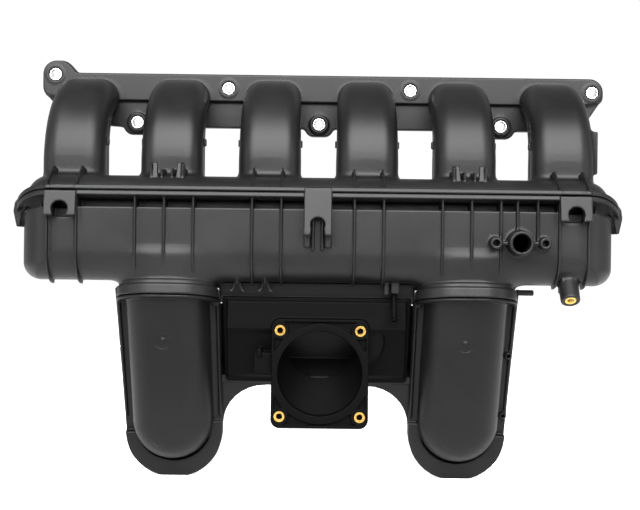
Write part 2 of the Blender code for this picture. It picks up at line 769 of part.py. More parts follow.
def make_throttle_shell():
    """The wall between the lobes' front shells, with the neck and the square flange for the throttle body."""
    right = [(86.5, -2, 0), (84.5, 3 - CROSSBAR_FOOT, 0), (80.5, -CROSSBAR_FOOT, 0)]
    plate = right + [(-u, v, r) for u, v, r in right[::-1]]
    shell = part("throttle_shell", "throttle_plastic", prism(rounded_outline(plate), on_weld, GAP / 2, WELD_FLANGE))
    add(shell, crossbar(CROSSBAR_FRONT), neck_tube(THROTTLE_WALL))
    flange = rounded_rectangle(*THROTTLE_SIZE, 8, (THROTTLE_X, THROTTLE_Z))
    add(shell, prism(flange, on_front, THROTTLE_FACE - THROTTLE_THICK, THROTTLE_FACE))
    add(shell, block((-57, 94, -261.5), (-38, 108, -243.5)), peg(42, -233, 21, 96, 106, sides=20))
    cut(shell, crossbar(CROSSBAR_FRONT, WALL), neck_tube(0, 2))
    for x, z in throttle_bolt_places():
        cut(shell, peg(x, z, INSERT_RADIUS + GAP, THROTTLE_FACE - 5, THROTTLE_FACE + 1, sides=12))
    return shell


def throttle_bolt_places():
    across, up = (value / 2 for value in THROTTLE_BOLTS)
    return [(THROTTLE_X + su * across, THROTTLE_Z + sv * up) for su, sv in ((-1, 1), (1, 1), (-1, -1), (1, -1))]


def make_throttle_insert(number):
    x, z = throttle_bolt_places()[number]
    outer, inner = circle(INSERT_RADIUS, (x, z), 12), circle(INSERT_BORE, (x, z), 12)
    solid = ring_prism(outer, inner, on_front, THROTTLE_FACE - 5 + GAP, THROTTLE_FACE - GAP)
    return part(f"throttle_insert_{number + 1}", "insert_brass", solid)


def make_bracket_insert():
    start, end = bracket_boss_point(INSERT_LENGTH), bracket_boss_point(GAP)
    turn = (end - start).to_track_quat("Z", "Y").to_matrix()

    def place(u, v, w):
        return start + turn @ Vector((u, v, w))

    outer, inner = circle(INSERT_RADIUS, sides=12), circle(INSERT_BORE, sides=12)
    return part("bracket_insert", "insert_brass", ring_prism(outer, inner, place, 0, (end - start).length))


def build():
    make_upper_shell()
    for number in range(PORT_COUNT):
        make_runner_inner_shell(number)
        make_port_seal(number)
    for number in range(len(HEAD_BOLTS)):
        make_limiter(number)
    make_lower_shell()
    for side, name in ((-1, "duct_front_shell_left"), (1, "duct_front_shell_right")):
        make_duct_front_shell(side, name)
    make_duct_rear_shell()
    make_throttle_shell()
    for number in range(len(throttle_bolt_places())):
        make_throttle_insert(number)
    make_bracket_insert()
    make_vacuum_pipe()
    make_vacuum_cap()


build()
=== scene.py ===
"""Looks of the intake manifold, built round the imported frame.

Every moulding is modelled as a field of signed distances on a fine grid, where shapes join with moulded fillets, and
is then turned into a mesh. A grid's axes are x along the row of ports, d (depth) forwards from the head flange's
mating face, and z up, all in millimetres; a tilted piece has a grid of its own that is turned into place at the end.
"""

from math import atan2, ceil, copysign, cos, pi, radians, sin, tan

import bpy
import numpy as np
import openvdb
from mathutils import Matrix, Vector


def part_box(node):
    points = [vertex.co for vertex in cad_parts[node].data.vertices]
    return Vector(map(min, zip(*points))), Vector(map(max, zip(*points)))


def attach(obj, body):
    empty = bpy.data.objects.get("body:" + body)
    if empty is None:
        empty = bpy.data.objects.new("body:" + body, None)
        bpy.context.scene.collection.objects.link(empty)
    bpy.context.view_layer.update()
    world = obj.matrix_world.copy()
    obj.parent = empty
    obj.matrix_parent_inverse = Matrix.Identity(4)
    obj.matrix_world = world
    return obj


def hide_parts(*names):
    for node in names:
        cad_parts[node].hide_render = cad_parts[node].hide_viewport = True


MM = 0.001
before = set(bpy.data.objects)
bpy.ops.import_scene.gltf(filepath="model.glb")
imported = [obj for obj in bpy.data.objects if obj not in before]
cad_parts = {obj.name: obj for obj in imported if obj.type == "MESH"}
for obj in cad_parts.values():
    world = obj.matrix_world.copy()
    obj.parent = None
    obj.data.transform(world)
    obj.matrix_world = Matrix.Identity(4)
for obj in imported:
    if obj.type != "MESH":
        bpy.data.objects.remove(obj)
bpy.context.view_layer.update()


def box_mm(node):
    """A CAD node's lowest and highest corners in millimetres, as (x, depth, z); depth is -y."""
    low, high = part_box(node)
    return Vector((low.x, -high.y, low.z)) / MM, Vector((high.x, -low.y, high.z)) / MM


def middle(node):
    low, high = box_mm(node)
    return (low + high) / 2


# Places that are read from the frame
PORTS = [middle(f"port_seal_{n}").x for n in range(1, 7)]
HEAD_BOLTS = [middle(f"compression_limiter_{n}") for n in range(1, 8)]
THROTTLE_INSERTS = [middle(f"throttle_insert_{n}") for n in range(1, 5)]
UPPER_LOW, UPPER_HIGH = box_mm("upper_shell")
LOWER_LOW, LOWER_HIGH = box_mm("lower_shell")
THROTTLE_LOW, THROTTLE_HIGH = box_mm("throttle_shell")

# Grids
PITCH = 1.0
REACH = 10.0  # how far round a shape its distances are worked out
BAND = 3.0  # grid steps of distance that are kept on each side of a surface
MERGE = 0.015  # how readily flat areas are given larger faces
ARC_STEPS = 8  # edges of a rounded corner
LATHE_SIDES = 56

# The design's sizes, as in the CAD part
GAP = 0.3
WALL = 3.2
BEND_RADIUS = 66.0
QUARTER = BEND_RADIUS * pi / 2
RUNNER_WIDTH = (54.5, 58.0)  # at the flange, at the plenum
RUNNER_DEPTH = (37.0, 46.0)
RUNNER_CORNER = 16.5
SEAL_GROW = 3.1  # from a port's bore out to the middle of its seal
FLANGE_THICK = 12.0
FLANGE_THIN = 8.5
FLANGE_FOOT = -27.0
FLANGE_TOP = 26.0
FLANGE_RIGHT = UPPER_HIGH.x
LOWER_BOLT_Z = HEAD_BOLTS[1].z
PLENUM_HALF = 270.0
PLENUM_BACK, PLENUM_FRONT = 18.0, 136.0
PLENUM_CORNER = 40.0
ROOF_Z = -75.5
ROOF_DROP = -BEND_RADIUS - ROOF_Z  # from the end of a runner's bend down to the roof
SEAM_Z = -98.8
SEAM_ABOVE, SEAM_BELOW = 4.5, 5.0  # thickness of the two seam flanges
SEAM_OVERHANG = 6.5
SEAM_FALL = 0.15  # how far the roof and the seam go down per millimetre towards the back
END_DROP, END_DROP_WIDTH = 5.5, 24.0  # how far both droop at the plenum's ends, and over what length
FLOOR_Z = -179.0
FLOOR_ROUND = 29.0
END_ROUND = 16.0
RIB_OFFSET = 13.0  # of the ribs beside a runner, from its middle
SIDE_FORK_X = 227.5
SENSOR_X, SENSOR_Z = 179.0, -141.0
SENSOR_SCREWS = (-21.6, 21.8)  # across from the port's middle
BRACKET_BOSS = Vector((226.0, 133.0, -192.0))
BRACKET_AXIS = Vector((0, 0.6, -0.8))
DUCT_X = 136.5
WELD_DEPTH, WELD_Z = 101.0, -190.0
DUCT_LEAN = atan2(45.0, 175.0)
DUCT_TOE_IN = radians(1.45)
COLLAR_DEPTH, COLLAR_Z = 100.0, -196.0
COLLAR_TILT = radians(8.5)
LOBE_LENGTH = 178.5
LOBE_HALF = (48.2, 45.6)
BULGE_HALF = 37.0
BULGE_LENGTH = 157.5
WELD_FLANGE = 4.0
CROSSBAR_FOOT = 89.5  # below the weld plane's origin
CROSSBAR_TOP, CROSSBAR_TOP_HALF = 11.0, 89.4
THROTTLE_FACE = THROTTLE_HIGH.y
THROTTLE_X = sum(p.x for p in THROTTLE_INSERTS) / 4
THROTTLE_Z = sum(p.z for p in THROTTLE_INSERTS) / 4
THROTTLE_BORE = 38.5
BORE_TAPER = 5.5  # how much narrower it is at the weld plane
LIMITER_BORE = 4.2
INSERT_RADIUS, INSERT_BORE, INSERT_LENGTH = 5.2, 2.6, 8.7
PHOTO_WIDTH = 640


# Outlines


def rounded_outline(corners):
    """A closed polygon whose corners, given as (u, v, radius), are turned into arcs."""
    points = []
    for i, (u, v, radius) in enumerate(corners):
        here = Vector((u, v))
        before = (Vector(corners[i - 1][:2]) - here).normalized()
        after = (Vector(corners[(i + 1) % len(corners)][:2]) - here).normalized()
        if radius == 0:
            points.append((here.x, here.y))
            continue
        half = before.angle(after) / 2
        centre = here + (before + after).normalized() * (radius / sin(half))
        start = here + before * (radius / tan(half)) - centre
        sweep = start.angle_signed(here + after * (radius / tan(half)) - centre)
        for step in range(ARC_STEPS + 1):
            point = centre + Matrix.Rotation(-sweep * step / ARC_STEPS, 2) @ start
            points.append((point.x, point.y))
    return points


def mirrored(half, middle=0.0):
    """A closed outline from its right half; u is counted from the middle."""
    left = [(middle - u, *rest) for u, *rest in half[::-1]]
    return [(middle + u, *rest) for u, *rest in half] + left


# Distances in a plane; u and v are arrays that spread over each other


def in_outline(points, u, v):
    """Signed distance from a closed polygon, negative inside."""
    best = np.full(np.broadcast_shapes(u.shape, v.shape), 1e9, np.float32)
    inside = np.zeros(best.shape, bool)
    for (u0, v0), (u1, v1) in zip(points, points[1:] + points[:1]):
        eu, ev = u1 - u0, v1 - v0
        length = eu * eu + ev * ev
        if length < 1e-9:
            continue
        t = np.clip(((u - u0) * eu + (v - v0) * ev) / length, 0, 1)
        best = np.minimum(best, (u - u0 - t * eu) ** 2 + (v - v0 - t * ev) ** 2)
        if v0 != v1:
            inside ^= ((v0 > v) != (v1 > v)) & (u < u0 + (v - v0) * (eu / ev))
    return np.where(inside, -np.sqrt(best), np.sqrt(best))


def between(value, low, high):
    """How far a coordinate is past the nearer of two ends, negative between them."""
    return np.abs(value - (low + high) / 2) - (high - low) / 2


def pushed(flat, along, edge):
    """A flat shape with thickness: along is the distance past its end faces, and edge rounds its rim."""
    a, b = flat + edge, along + edge
    return np.minimum(np.maximum(a, b), 0) + np.hypot(np.maximum(a, 0), np.maximum(b, 0)) - edge


def in_rectangle(u, v, width, height, radius):
    return pushed(np.abs(u) - width / 2, np.abs(v) - height / 2, radius)


def smooth_min(a, b, blend):
    if blend <= 0:
        return np.minimum(a, b)
    mix = np.clip(0.5 + 0.5 * (b - a) / blend, 0, 1)
    return b + (a - b) * mix - blend * mix * (1 - mix)


def smooth_max(a, b, blend):
    return -smooth_min(-a, -b, blend)


# Shapes: a distance function of (x, d, z) with the box that it needs


class Shape:
    def __init__(self, low, high, distance):
        self.low, self.high, self.distance = low, high, distance

    def within(self, limit):
        """The part where limit, another function of (x, d, z), is negative."""
        return Shape(self.low, self.high, lambda *at: np.maximum(self.distance(*at), limit(*at)))


def plate(outline, axis, low, high, edge=0.6):
    """An outline pushed along the axis x, d or z; it is drawn in the other two, in that order."""
    k = "xdz".index(axis)
    others = [i for i in range(3) if i != k]
    corner, far = [low] * 3, [high] * 3
    for place, i in enumerate(others):
        corner[i] = min(p[place] for p in outline)
        far[i] = max(p[place] for p in outline)

    def distance(*at):
        flat = in_outline(outline, at[others[0]], at[others[1]])
        return pushed(flat, between(at[k], low, high), edge)

    return Shape(corner, far, distance)


def block(low, high, edge=0.6):
    """A box between two corners."""
    a, b = (tuple(f(p, q) for p, q in zip(low, high)) for f in (min, max))

    def distance(x, d, z):
        flat = in_rectangle(x - (a[0] + b[0]) / 2, z - (a[2] + b[2]) / 2, b[0] - a[0], b[2] - a[2], edge)
        return pushed(flat, between(d, a[1], b[1]), edge)

    return Shape(a, b, distance)


def rod(start, end, radius, end_radius=None, edge=0.5):
    """A round bar or cone between two points."""
    a, along = Vector(start), Vector(end) - Vector(start)
    length = along.length
    along.normalize()
    last = radius if end_radius is None else end_radius
    widest = max(radius, last)
    low = [min(p, q) - widest for p, q in zip(start, end)]
    high = [max(p, q) + widest for p, q in zip(start, end)]

    def distance(x, d, z):
        away = (x - a.x, d - a.y, z - a.z)
        way = away[0] * along.x + away[1] * along.y + away[2] * along.z
        out = np.sqrt(np.maximum(away[0] ** 2 + away[1] ** 2 + away[2] ** 2 - way**2, 0))
        tapered = radius + (last - radius) * np.clip(way / length, 0, 1)
        return pushed(out - tapered, np.abs(way - length / 2) - length / 2, edge)

    return Shape(low, high, distance)


def peg(x, z, low, high, *sizes):
    """A rod that points forwards; sizes are as a rod has them."""
    return rod((x, low, z), (x, high, z), *sizes)


def everywhere_between(low, high, distance):
    """A shape without bounds except in height."""
    return Shape((-1e4, -1e4, low), (1e4, 1e4, high), distance)


def everywhere(distance):
    return everywhere_between(-1e4, 1e4, distance)


class Field:
    """Signed distances on a grid between two corners; place turns its own frame into the scene's."""

    def __init__(self, low, high, pitch=PITCH, place=None):
        self.pitch, self.low, self.place = pitch, low, place or Matrix()
        counts = [int(ceil((b - a) / pitch)) + 1 for a, b in zip(low, high)]
        self.axes = [(a + pitch * np.arange(n)).astype(np.float32) for a, n in zip(low, counts)]
        self.values = np.full(counts, 50, np.float32)

    def window(self, shape):
        """The part of the grid that a shape reaches, and its coordinates."""
        slices = []
        for axis, low, high in zip(self.axes, shape.low, shape.high):
            slices.append(slice(*np.searchsorted(axis, (low - REACH, high + REACH))))
        x, d, z = (axis[part] for axis, part in zip(self.axes, slices))
        return tuple(slices), (x[:, None, None], d[None, :, None], z[None, None, :])

    def join(self, *shapes, blend=0.0):
        for shape in shapes:
            where, at = self.window(shape)
            self.values[where] = smooth_min(self.values[where], shape.distance(*at), blend)

    def cut(self, *shapes, blend=0.0):
        for shape in shapes:
            where, at = self.window(shape)
            self.values[where] = smooth_max(self.values[where], -shape.distance(*at), blend)

    def sample(self, points):
        """The distance at points given in grid steps, between the grid's eight nearest values."""
        most = np.array(self.values.shape) - 1.001
        points = np.clip(points, 0, most)
        base = points.astype(int)
        part = (points - base).astype(np.float32)
        total = np.zeros(len(points), np.float32)
        for corner in np.ndindex(2, 2, 2):
            weight = np.prod(np.where(corner, part, 1 - part), axis=1)
            total += weight * self.values[tuple((base + corner).T)]
        return total

    def gradient(self, points, step=0.7):
        slopes = [self.sample(points + step * side) - self.sample(points - step * side) for side in np.eye(3)]
        slopes = np.stack(slopes, axis=1)
        return slopes / np.maximum(np.linalg.norm(slopes, axis=1, keepdims=True), 1e-6)

    def mesh(self, name):
        """The surface where the distance is nought, with smooth normals taken from the field."""
        grid = openvdb.FloatGrid(BAND * self.pitch)
        grid.copyFromArray(np.clip(self.values, -BAND * self.pitch, BAND * self.pitch))
        points, triangles, quads = grid.convertToPolygons(0.0, MERGE)
        for _ in range(2):
            points = points - (self.sample(points) / self.pitch)[:, None] * self.gradient(points)
        corners = np.concatenate([quads.ravel(), triangles.ravel()])
        starts = np.concatenate([np.arange(len(quads)) * 4, len(quads) * 4 + np.arange(len(triangles)) * 3])
        sizes = np.concatenate([np.full(len(quads), 4), np.full(len(triangles), 3)])
        face = np.repeat(np.arange(len(sizes)), sizes)
        centres = np.add.reduceat(points[corners], starts) / sizes[:, None]
        normals = self.gradient((points[corners] + centres[face]) / 2)
        scale = np.array((1, -1, 1), np.float32)
        world = (np.array(self.low) + points * self.pitch) * scale
        made = bpy.data.meshes.new(name)
        made.vertices.add(len(world))
        made.vertices.foreach_set("co", world.astype(np.float32).ravel())
        made.loops.add(len(corners))
        made.loops.foreach_set("vertex_index", corners.astype(np.int32))
        made.polygons.add(len(sizes))
        made.polygons.foreach_set("loop_start", starts.astype(np.int32))
        made.polygons.foreach_set("use_smooth", np.ones(len(sizes), bool))
        made.update(calc_edges=True)
        made.validate()
        if len(made.loops) == len(corners):  # no face was dropped, so the normals still match
            normals = normals * scale
            face_normals = np.empty(len(made.polygons) * 3, np.float32)
            made.polygons.foreach_get("normal", face_normals)
            if (face_normals.reshape(-1, 3)[face] * normals).sum() < 0:
                made.flip_normals()
                order = np.arange(len(corners)) - starts[face]
                normals = normals[starts[face] + (sizes[face] - order) % sizes[face]]
            made.normals_split_custom_set(normals)
        made.transform(Matrix.Scale(MM, 4) @ self.place)
        return made


# Pieces and finishes


def new_object(name, data):
    obj = bpy.data.objects.new(name, data)
    bpy.context.scene.collection.objects.link(obj)
    return obj


def add_piece(name, mesh, finish_and_slot, node_name):
    """A piece that rides on the only body and stands for a CAD node."""
    finish, slot = finish_and_slot
    obj = new_object(name, mesh)
    obj.data.materials.append(finish)
    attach(obj, "root")
    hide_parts(node_name)


def shader_of(material):
    return material.node_tree.nodes["Principled BSDF"]


def new_finish(name, colour, roughness, metallic=0.0, specular=0.5):
    material = bpy.data.materials.new(name)
    material.use_nodes = True
    shader = shader_of(material)
    shader.inputs["Base Color"].default_value = (*colour, 1)
    shader.inputs["Roughness"].default_value = roughness
    shader.inputs["Metallic"].default_value = metallic
    shader.inputs["Specular IOR Level"].default_value = specular
    return material


def node(material, kind, **settings):
    made = material.node_tree.nodes.new(kind)
    for key, value in settings.items():
        if hasattr(made, key):
            setattr(made, key, value)
        else:
            made.inputs[key.replace("_", " ")].default_value = value
    return made


def link(material, source, output, target, input_name):
    material.node_tree.links.new(source.outputs[output], target.inputs[input_name])


def ramp(material, source, output, stops):
    """A colour ramp on a node's output; stops are (place, grey or colour)."""
    made = node(material, "ShaderNodeValToRGB")
    while len(made.color_ramp.elements) < len(stops):
        made.color_ramp.elements.new(0.5)
    for element, (place, value) in zip(made.color_ramp.elements, stops):
        element.position = place
        element.color = (*value, 1) if isinstance(value, tuple) else (value, value, value, 1)
    link(material, source, output, made, "Fac")
    return made


def noise(material, source, output, **settings):
    made = node(material, "ShaderNodeTexNoise", **settings)
    link(material, source, output, made, "Vector")
    return made


def surface(material, rough, texture, strength, distance):
    """Takes the roughness from one node and a fine bump from another."""
    shader = shader_of(material)
    link(material, rough, "Color", shader, "Roughness")
    bump = node(material, "ShaderNodeBump", Strength=strength, Distance=distance)
    link(material, texture, "Fac", bump, "Height")
    link(material, bump, "Normal", shader, "Normal")


def moulded(name, colour, roughness, specular, grain=0.5):
    """Glass-filled nylon: a fine spark-eroded grain, cloudy flow marks and short pale fibres under the skin."""
    material = new_finish(name, colour, roughness, specular=specular)
    shader = shader_of(material)
    where = node(material, "ShaderNodeTexCoord")
    clouds = noise(material, where, "Object", Scale=14.0, Detail=4.0, Roughness=0.55)
    fine = noise(material, where, "Object", Scale=1500.0, Detail=3.0, Roughness=0.7)
    stretch = node(material, "ShaderNodeMapping", Scale=(1.0, 1.0, 0.12))
    link(material, where, "Object", stretch, "Vector")
    fibres = noise(material, stretch, "Vector", Scale=2600.0, Detail=1.0)
    dark = tuple(c * 0.82 for c in colour)
    light = tuple(c * 1.25 for c in colour)
    cloudy = ramp(material, clouds, "Fac", [(0.35, dark), (0.7, light)])
    specks = ramp(material, fibres, "Fac", [(0.66, 0.0), (0.76, 0.35)])
    tint = node(material, "ShaderNodeMix", data_type="RGBA")
    link(material, specks, "Color", tint, "Factor")
    link(material, cloudy, "Color", tint, 6)
    tint.inputs[7].default_value = (*(min(1.0, c * 2.2 + 0.006) for c in colour), 1)
    link(material, tint, 2, shader, "Base Color")
    rough = ramp(material, clouds, "Fac", [(0.3, roughness - 0.04), (0.75, roughness + 0.06)])
    surface(material, rough, fine, grain, 0.00012)
    return material


def machined(name, colour, roughness):
    """Bare metal with turning marks and a little tarnish."""
    material = new_finish(name, colour, roughness, metallic=1.0)
    shader = shader_of(material)
    where = node(material, "ShaderNodeTexCoord")
    marks = noise(material, where, "Object", Scale=900.0, Detail=3.0)
    tarnish = noise(material, where, "Object", Scale=180.0, Detail=2.0)
    shade = ramp(material, tarnish, "Fac", [(0.3, tuple(c * 0.8 for c in colour)), (0.7, colour)])
    link(material, shade, "Color", shader, "Base Color")
    rough = ramp(material, marks, "Fac", [(0.3, roughness - 0.06), (0.7, roughness + 0.1)])
    surface(material, rough, marks, 0.25, 0.0001)
    return material


# Each finish with the record's material slot
SHELL = moulded("moulded_shell", (0.0115, 0.0115, 0.0118), 0.40, 0.25), "shell_plastic"
# The duct and throttle finishes are darker copies of the shell's plastic: painted shade for the lower parts, which
# lie under the plenum and face a little downwards; the throttle's is also a darker, more matte plastic.
DUCT = moulded("moulded_duct", (0.0072, 0.0072, 0.0075), 0.42, 0.20), "duct_plastic"
THROTTLE = moulded("moulded_throttle", (0.0018, 0.0018, 0.0019), 0.55, 0.07), "throttle_plastic"
STEEL = machined("zinc_steel", (0.86, 0.85, 0.84), 0.26), "limiter_steel"
BRASS = machined("turned_brass", (0.50, 0.34, 0.12), 0.30), "insert_brass"
RUBBER = moulded("seal_rubber_finish", (0.010, 0.010, 0.010), 0.72, 0.3, grain=0.8), "seal_rubber"


# Upper moulding


def runner_way(d, z):
    """How far along a runner's centre line a point is, counted from the flange, and how far outwards from it."""
    turn = np.arctan2(d - FLANGE_THICK, z + BEND_RADIUS)
    way = turn * BEND_RADIUS
    out = np.hypot(d - FLANGE_THICK, z + BEND_RADIUS) - BEND_RADIUS
    straight = d < FLANGE_THICK
    way, out = np.where(straight, d - FLANGE_THICK, way), np.where(straight, z, out)
    down = (z < -BEND_RADIUS) & ~straight
    way = np.where(down, QUARTER - BEND_RADIUS - z, way)
    return way, np.where(down, d - FLANGE_THICK - BEND_RADIUS, out)


def runner(x_middle, grow, start, end, side=0):
    """A runner's tube, solid, between two places on its way; side 1 or -1 keeps its outer or its inner half."""

    def distance(x, d, z):
        way, out = runner_way(d, z)
        share = np.clip(way / QUARTER, 0, 1)
        width = RUNNER_WIDTH[0] + share * (RUNNER_WIDTH[1] - RUNNER_WIDTH[0]) + 2 * grow
        height = RUNNER_DEPTH[0] + share * (RUNNER_DEPTH[1] - RUNNER_DEPTH[0]) + 2 * grow
        tube = in_rectangle(x - x_middle, out, width, height, RUNNER_CORNER + grow)
        ends = np.maximum(start - way, way - end - np.where(way > QUARTER, fall(d), 0))
        if side:
            ends = np.maximum(ends, GAP / 2 - side * out)
        return np.maximum(tube, ends)

    foot = QUARTER - BEND_RADIUS - end - fall(55)
    return Shape((x_middle - 32, FLANGE_THICK + start, foot), (x_middle + 32, 104, 24), distance)


def flange_outline():
    """The head flange with its raised ear at the left, its tapered right end and a lobe under each lower bolt."""
    corners = [
        (-251, FLANGE_FOOT + 4, 4),
        (-277, 8, 14),
        (-277, 38, 13),
        (-254, 38, 12),
        (-243, FLANGE_TOP, 6),
        (FLANGE_RIGHT, FLANGE_TOP, 13),
        (FLANGE_RIGHT, 6, 9),
        (262, FLANGE_FOOT, 3),
    ]
    lobe_foot = LOWER_BOLT_Z - 12
    lobe = ((15, FLANGE_FOOT, 4), (10.5, lobe_foot, 9), (-10.5, lobe_foot, 9), (-15, FLANGE_FOOT, 4))
    for bolt in HEAD_BOLTS[5::-2]:
        corners += [(bolt.x + u, v, radius) for u, v, radius in lobe]
    return rounded_outline(corners)


def plan_distance(x, d):
    """Distance from the plenum's widest outline, seen from above."""
    return pushed(np.abs(x) - PLENUM_HALF, between(d, PLENUM_BACK, PLENUM_FRONT), PLENUM_CORNER)


def fall(d, x=0.0):
    """How much lower the roof and the seam are at a place than in the middle of the plenum's front."""
    to_end = np.clip((np.abs(x) - (PLENUM_HALF - END_DROP_WIDTH)) / END_DROP_WIDTH, 0, 1.3)
    return SEAM_FALL * (PLENUM_FRONT - d) + END_DROP * to_end**2


ROOF_SLOPE = Vector((13, 36)).normalized()  # of its front part, in depth and height
ROOF_EDGE = 103.0  # the depth where the front part starts


def roof_form(x, d, z):
    z = z + fall(d, x)
    across = between(d, PLENUM_BACK, PLENUM_FRONT)
    body = np.maximum(pushed(across, z - ROOF_Z, 13), pushed(plan_distance(x, d), z - ROOF_Z, 28))
    slope = (d - ROOF_EDGE) * ROOF_SLOPE.x + (z - ROOF_Z) * ROOF_SLOPE.y
    return smooth_max(body, slope, 9)


def seam_flange(low, high, edge):
    def distance(x, d, z):
        up = z + fall(d, x) - (low + high) / 2
        flat = plan_distance(x, d + 2 * SEAM_FALL * up) - SEAM_OVERHANG
        return pushed(flat, np.abs(up) - (high - low) / 2, edge)

    return everywhere_between(low - fall(0) - 2 * END_DROP, high + 2, distance)


def in_port(x, z, grow=0.0):
    """Distance from the outline of a port's bore at the flange, widened by grow."""
    width, height = (size[0] - 2 * WALL + 2 * grow for size in (RUNNER_WIDTH, RUNNER_DEPTH))
    return in_rectangle(x, z, width, height, RUNNER_CORNER - WALL + grow)


def port_mouth(x_middle, start, end):
    def distance(x, d, z):
        return np.maximum(in_port(x - x_middle, z), between(d, start, end))

    return Shape((x_middle - 34, start, -24), (x_middle + 34, end, 24), distance)


def ring_groove(x_middle):
    """The groove for a port's seal."""

    def distance(x, d, z):
        return np.maximum(np.abs(in_port(x - x_middle, z, SEAL_GROW)) - 1.8, d - 3.4)

    return Shape((x_middle - 34, -2, -24), (x_middle + 34, 3.4, 24), distance)


def roof_fin(x, foot_depth):
    foot = [(96, ROOF_Z - 14), (136, -100), (foot_depth, -100), (foot_depth, -95)]
    return plate(foot + [(114, -75), (108, -75), (96, -79)], "x", x - 0.9, x + 0.9, 0.3)


def two_prong_bracket(x):
    """A bracket that stands on the roof's front edge, with a U-shaped slot that is open at the top."""
    half = [(15.5, -97, 0), (15.5, -71.5, 1.2), (9, -71.5, 1.2), (8, -85, 4), (4.5, -88, 3)]
    upright = plate(rounded_outline(mirrored(half, x)), "d", 121.5, 125.5, 0.7)
    lean = 0.22  # of the plate towards the back

    def distance(x, d, z):
        return upright.distance(x, d + lean * (z + 97), z)

    low = (upright.low[0], upright.low[1] - 6, upright.low[2])
    shapes = [Shape(low, upright.high, distance)]
    for offset in (-14.2, -4.6, 4.6, 14.2):
        top = -73 if abs(offset) > 10 else -77
        rib = [(94, -86), (123, -96), (124, top), (120, top), (98, -77)]
        shapes.append(plate(rib, "x", x + offset - 1.2, x + offset + 1.2, 0.6))
    return shapes


def make_upper():
    field = Field((UPPER_LOW.x - 4, -4, UPPER_LOW.z - 4), (UPPER_HIGH.x + 4, UPPER_HIGH.y + 6, UPPER_HIGH.z + 5))
    field.join(Shape(UPPER_LOW, UPPER_HIGH, roof_form).within(lambda x, d, z: SEAM_Z - z - fall(d, x)))
    field.join(seam_flange(SEAM_Z, SEAM_Z + SEAM_ABOVE, 1.0), blend=1.5)
    for x in PORTS:
        field.join(runner(x, 0, 2, 120, side=1), blend=7)
    field.join(plate(flange_outline(), "d", 0, FLANGE_THIN, 0.8), blend=3.0)
    thick = [(p, max(q, -1.0)) for p, q in flange_outline()]
    field.join(plate(thick, "d", 0, FLANGE_THICK, 1.0), blend=3.0)
    for bolt in HEAD_BOLTS:
        field.join(peg(bolt.x, bolt.z, 2, FLANGE_THICK, 9.6, 9.6, 0.8), blend=1.5)
    for number, foot_depth in ((0, 142.3), (5, 142.3), (2, 137.5), (3, 137.5)):
        for offset in (-RIB_OFFSET, RIB_OFFSET):
            field.join(roof_fin(PORTS[number] + offset, foot_depth), blend=1.5)
    for x in (PORTS[1], PORTS[4]):
        field.join(*two_prong_bracket(x), blend=1.2)
    side_plate = rounded_outline([(240, -35, 1), (261, -35, 1.5), (261, -75, 1.5), (240, -75, 1)])
    field.join(plate(side_plate, "d", 79.5, 85, 0.8), blend=4)
    for number, side in ((0, 1), (1, 1), (4, -1), (5, -1)):
        x = PORTS[number]
        field.join(block((x + side * 27, 78, -53), (x + side * 31.2, 82, -46), 1.0), blend=1.5)
    for x in PORTS:
        field.cut(runner(x, -WALL, -14, QUARTER + 40), ring_groove(x), port_mouth(x, -3, 6))
    field.cut(Shape(UPPER_LOW, UPPER_HIGH, lambda x, d, z: roof_form(x, d, z) + WALL))
    for bolt in HEAD_BOLTS:
        field.cut(peg(bolt.x, bolt.z, -4, FLANGE_THICK + 3, 6.5, 6.5, 0))
    field.cut(everywhere(lambda x, d, z: d), everywhere(lambda x, d, z: z + fall(d, x) - SEAM_Z))
    return field


# Lower moulding


def tub_form(x, d, z):
    """The tub's outside; its floor meets its ends in a smaller round than its front."""
    long = pushed(between(d, PLENUM_BACK, PLENUM_FRONT), FLOOR_Z - z, FLOOR_ROUND)
    return np.maximum(long, pushed(plan_distance(x, d), FLOOR_Z - z, END_ROUND))


def below_seam_groove(x, d, z):
    """The deep channel that runs round the tub under its seam flange."""
    return smooth_max(np.abs(z + fall(d, x) + 108.6) - 4.2, -plan_distance(x, d) - 15, 1.5)


def tub_cavity(x, d, z):
    shelf = 15.5 * np.clip((z + fall(d, x) + 134) / 12, 0, 1)
    return tub_form(x, d, z) + WALL + shelf


def neck_way(side, x, d, z):
    """A point's place across a neck, in its tilted plane, and its height over that plane."""
    c, s = cos(COLLAR_TILT), sin(COLLAR_TILT)
    forward = (d - COLLAR_DEPTH) * c + (z - COLLAR_Z) * s
    return x - side * DUCT_X, forward, (z - COLLAR_Z) * c - (d - COLLAR_DEPTH) * s


def neck(side, grow, low, high, edge=0.0):
    def distance(x, d, z):
        across, forward, up = neck_way(side, x, d, z)
        flat = in_rectangle(across, forward, 2 * (BULGE_HALF + grow), 70 + 2 * grow, 28 + grow)
        return pushed(flat, between(up, low, high), edge)

    x = side * DUCT_X
    return Shape((x - 52, 45, COLLAR_Z + low - 9), (x + 52, 155, COLLAR_Z + high + 9), distance)


def front_rib(x, foot=None):
    """A fin down the tub's front; without a foot it runs on round under the floor."""
    if foot is None:
        front = [(112, -103.5, 0), (139.2, -103.5, 0), (139.2, -182, 29)]
        outline = rounded_outline(front + [(108, -182.3, 0), (106, -170, 0), (125, -150, 0)])
    else:
        outline = [(126, -103.5), (139.2, -103.5), (139.2, foot), (126, foot)]
    return plate(outline, "x", x - 1.0, x + 1.0, 0.3)


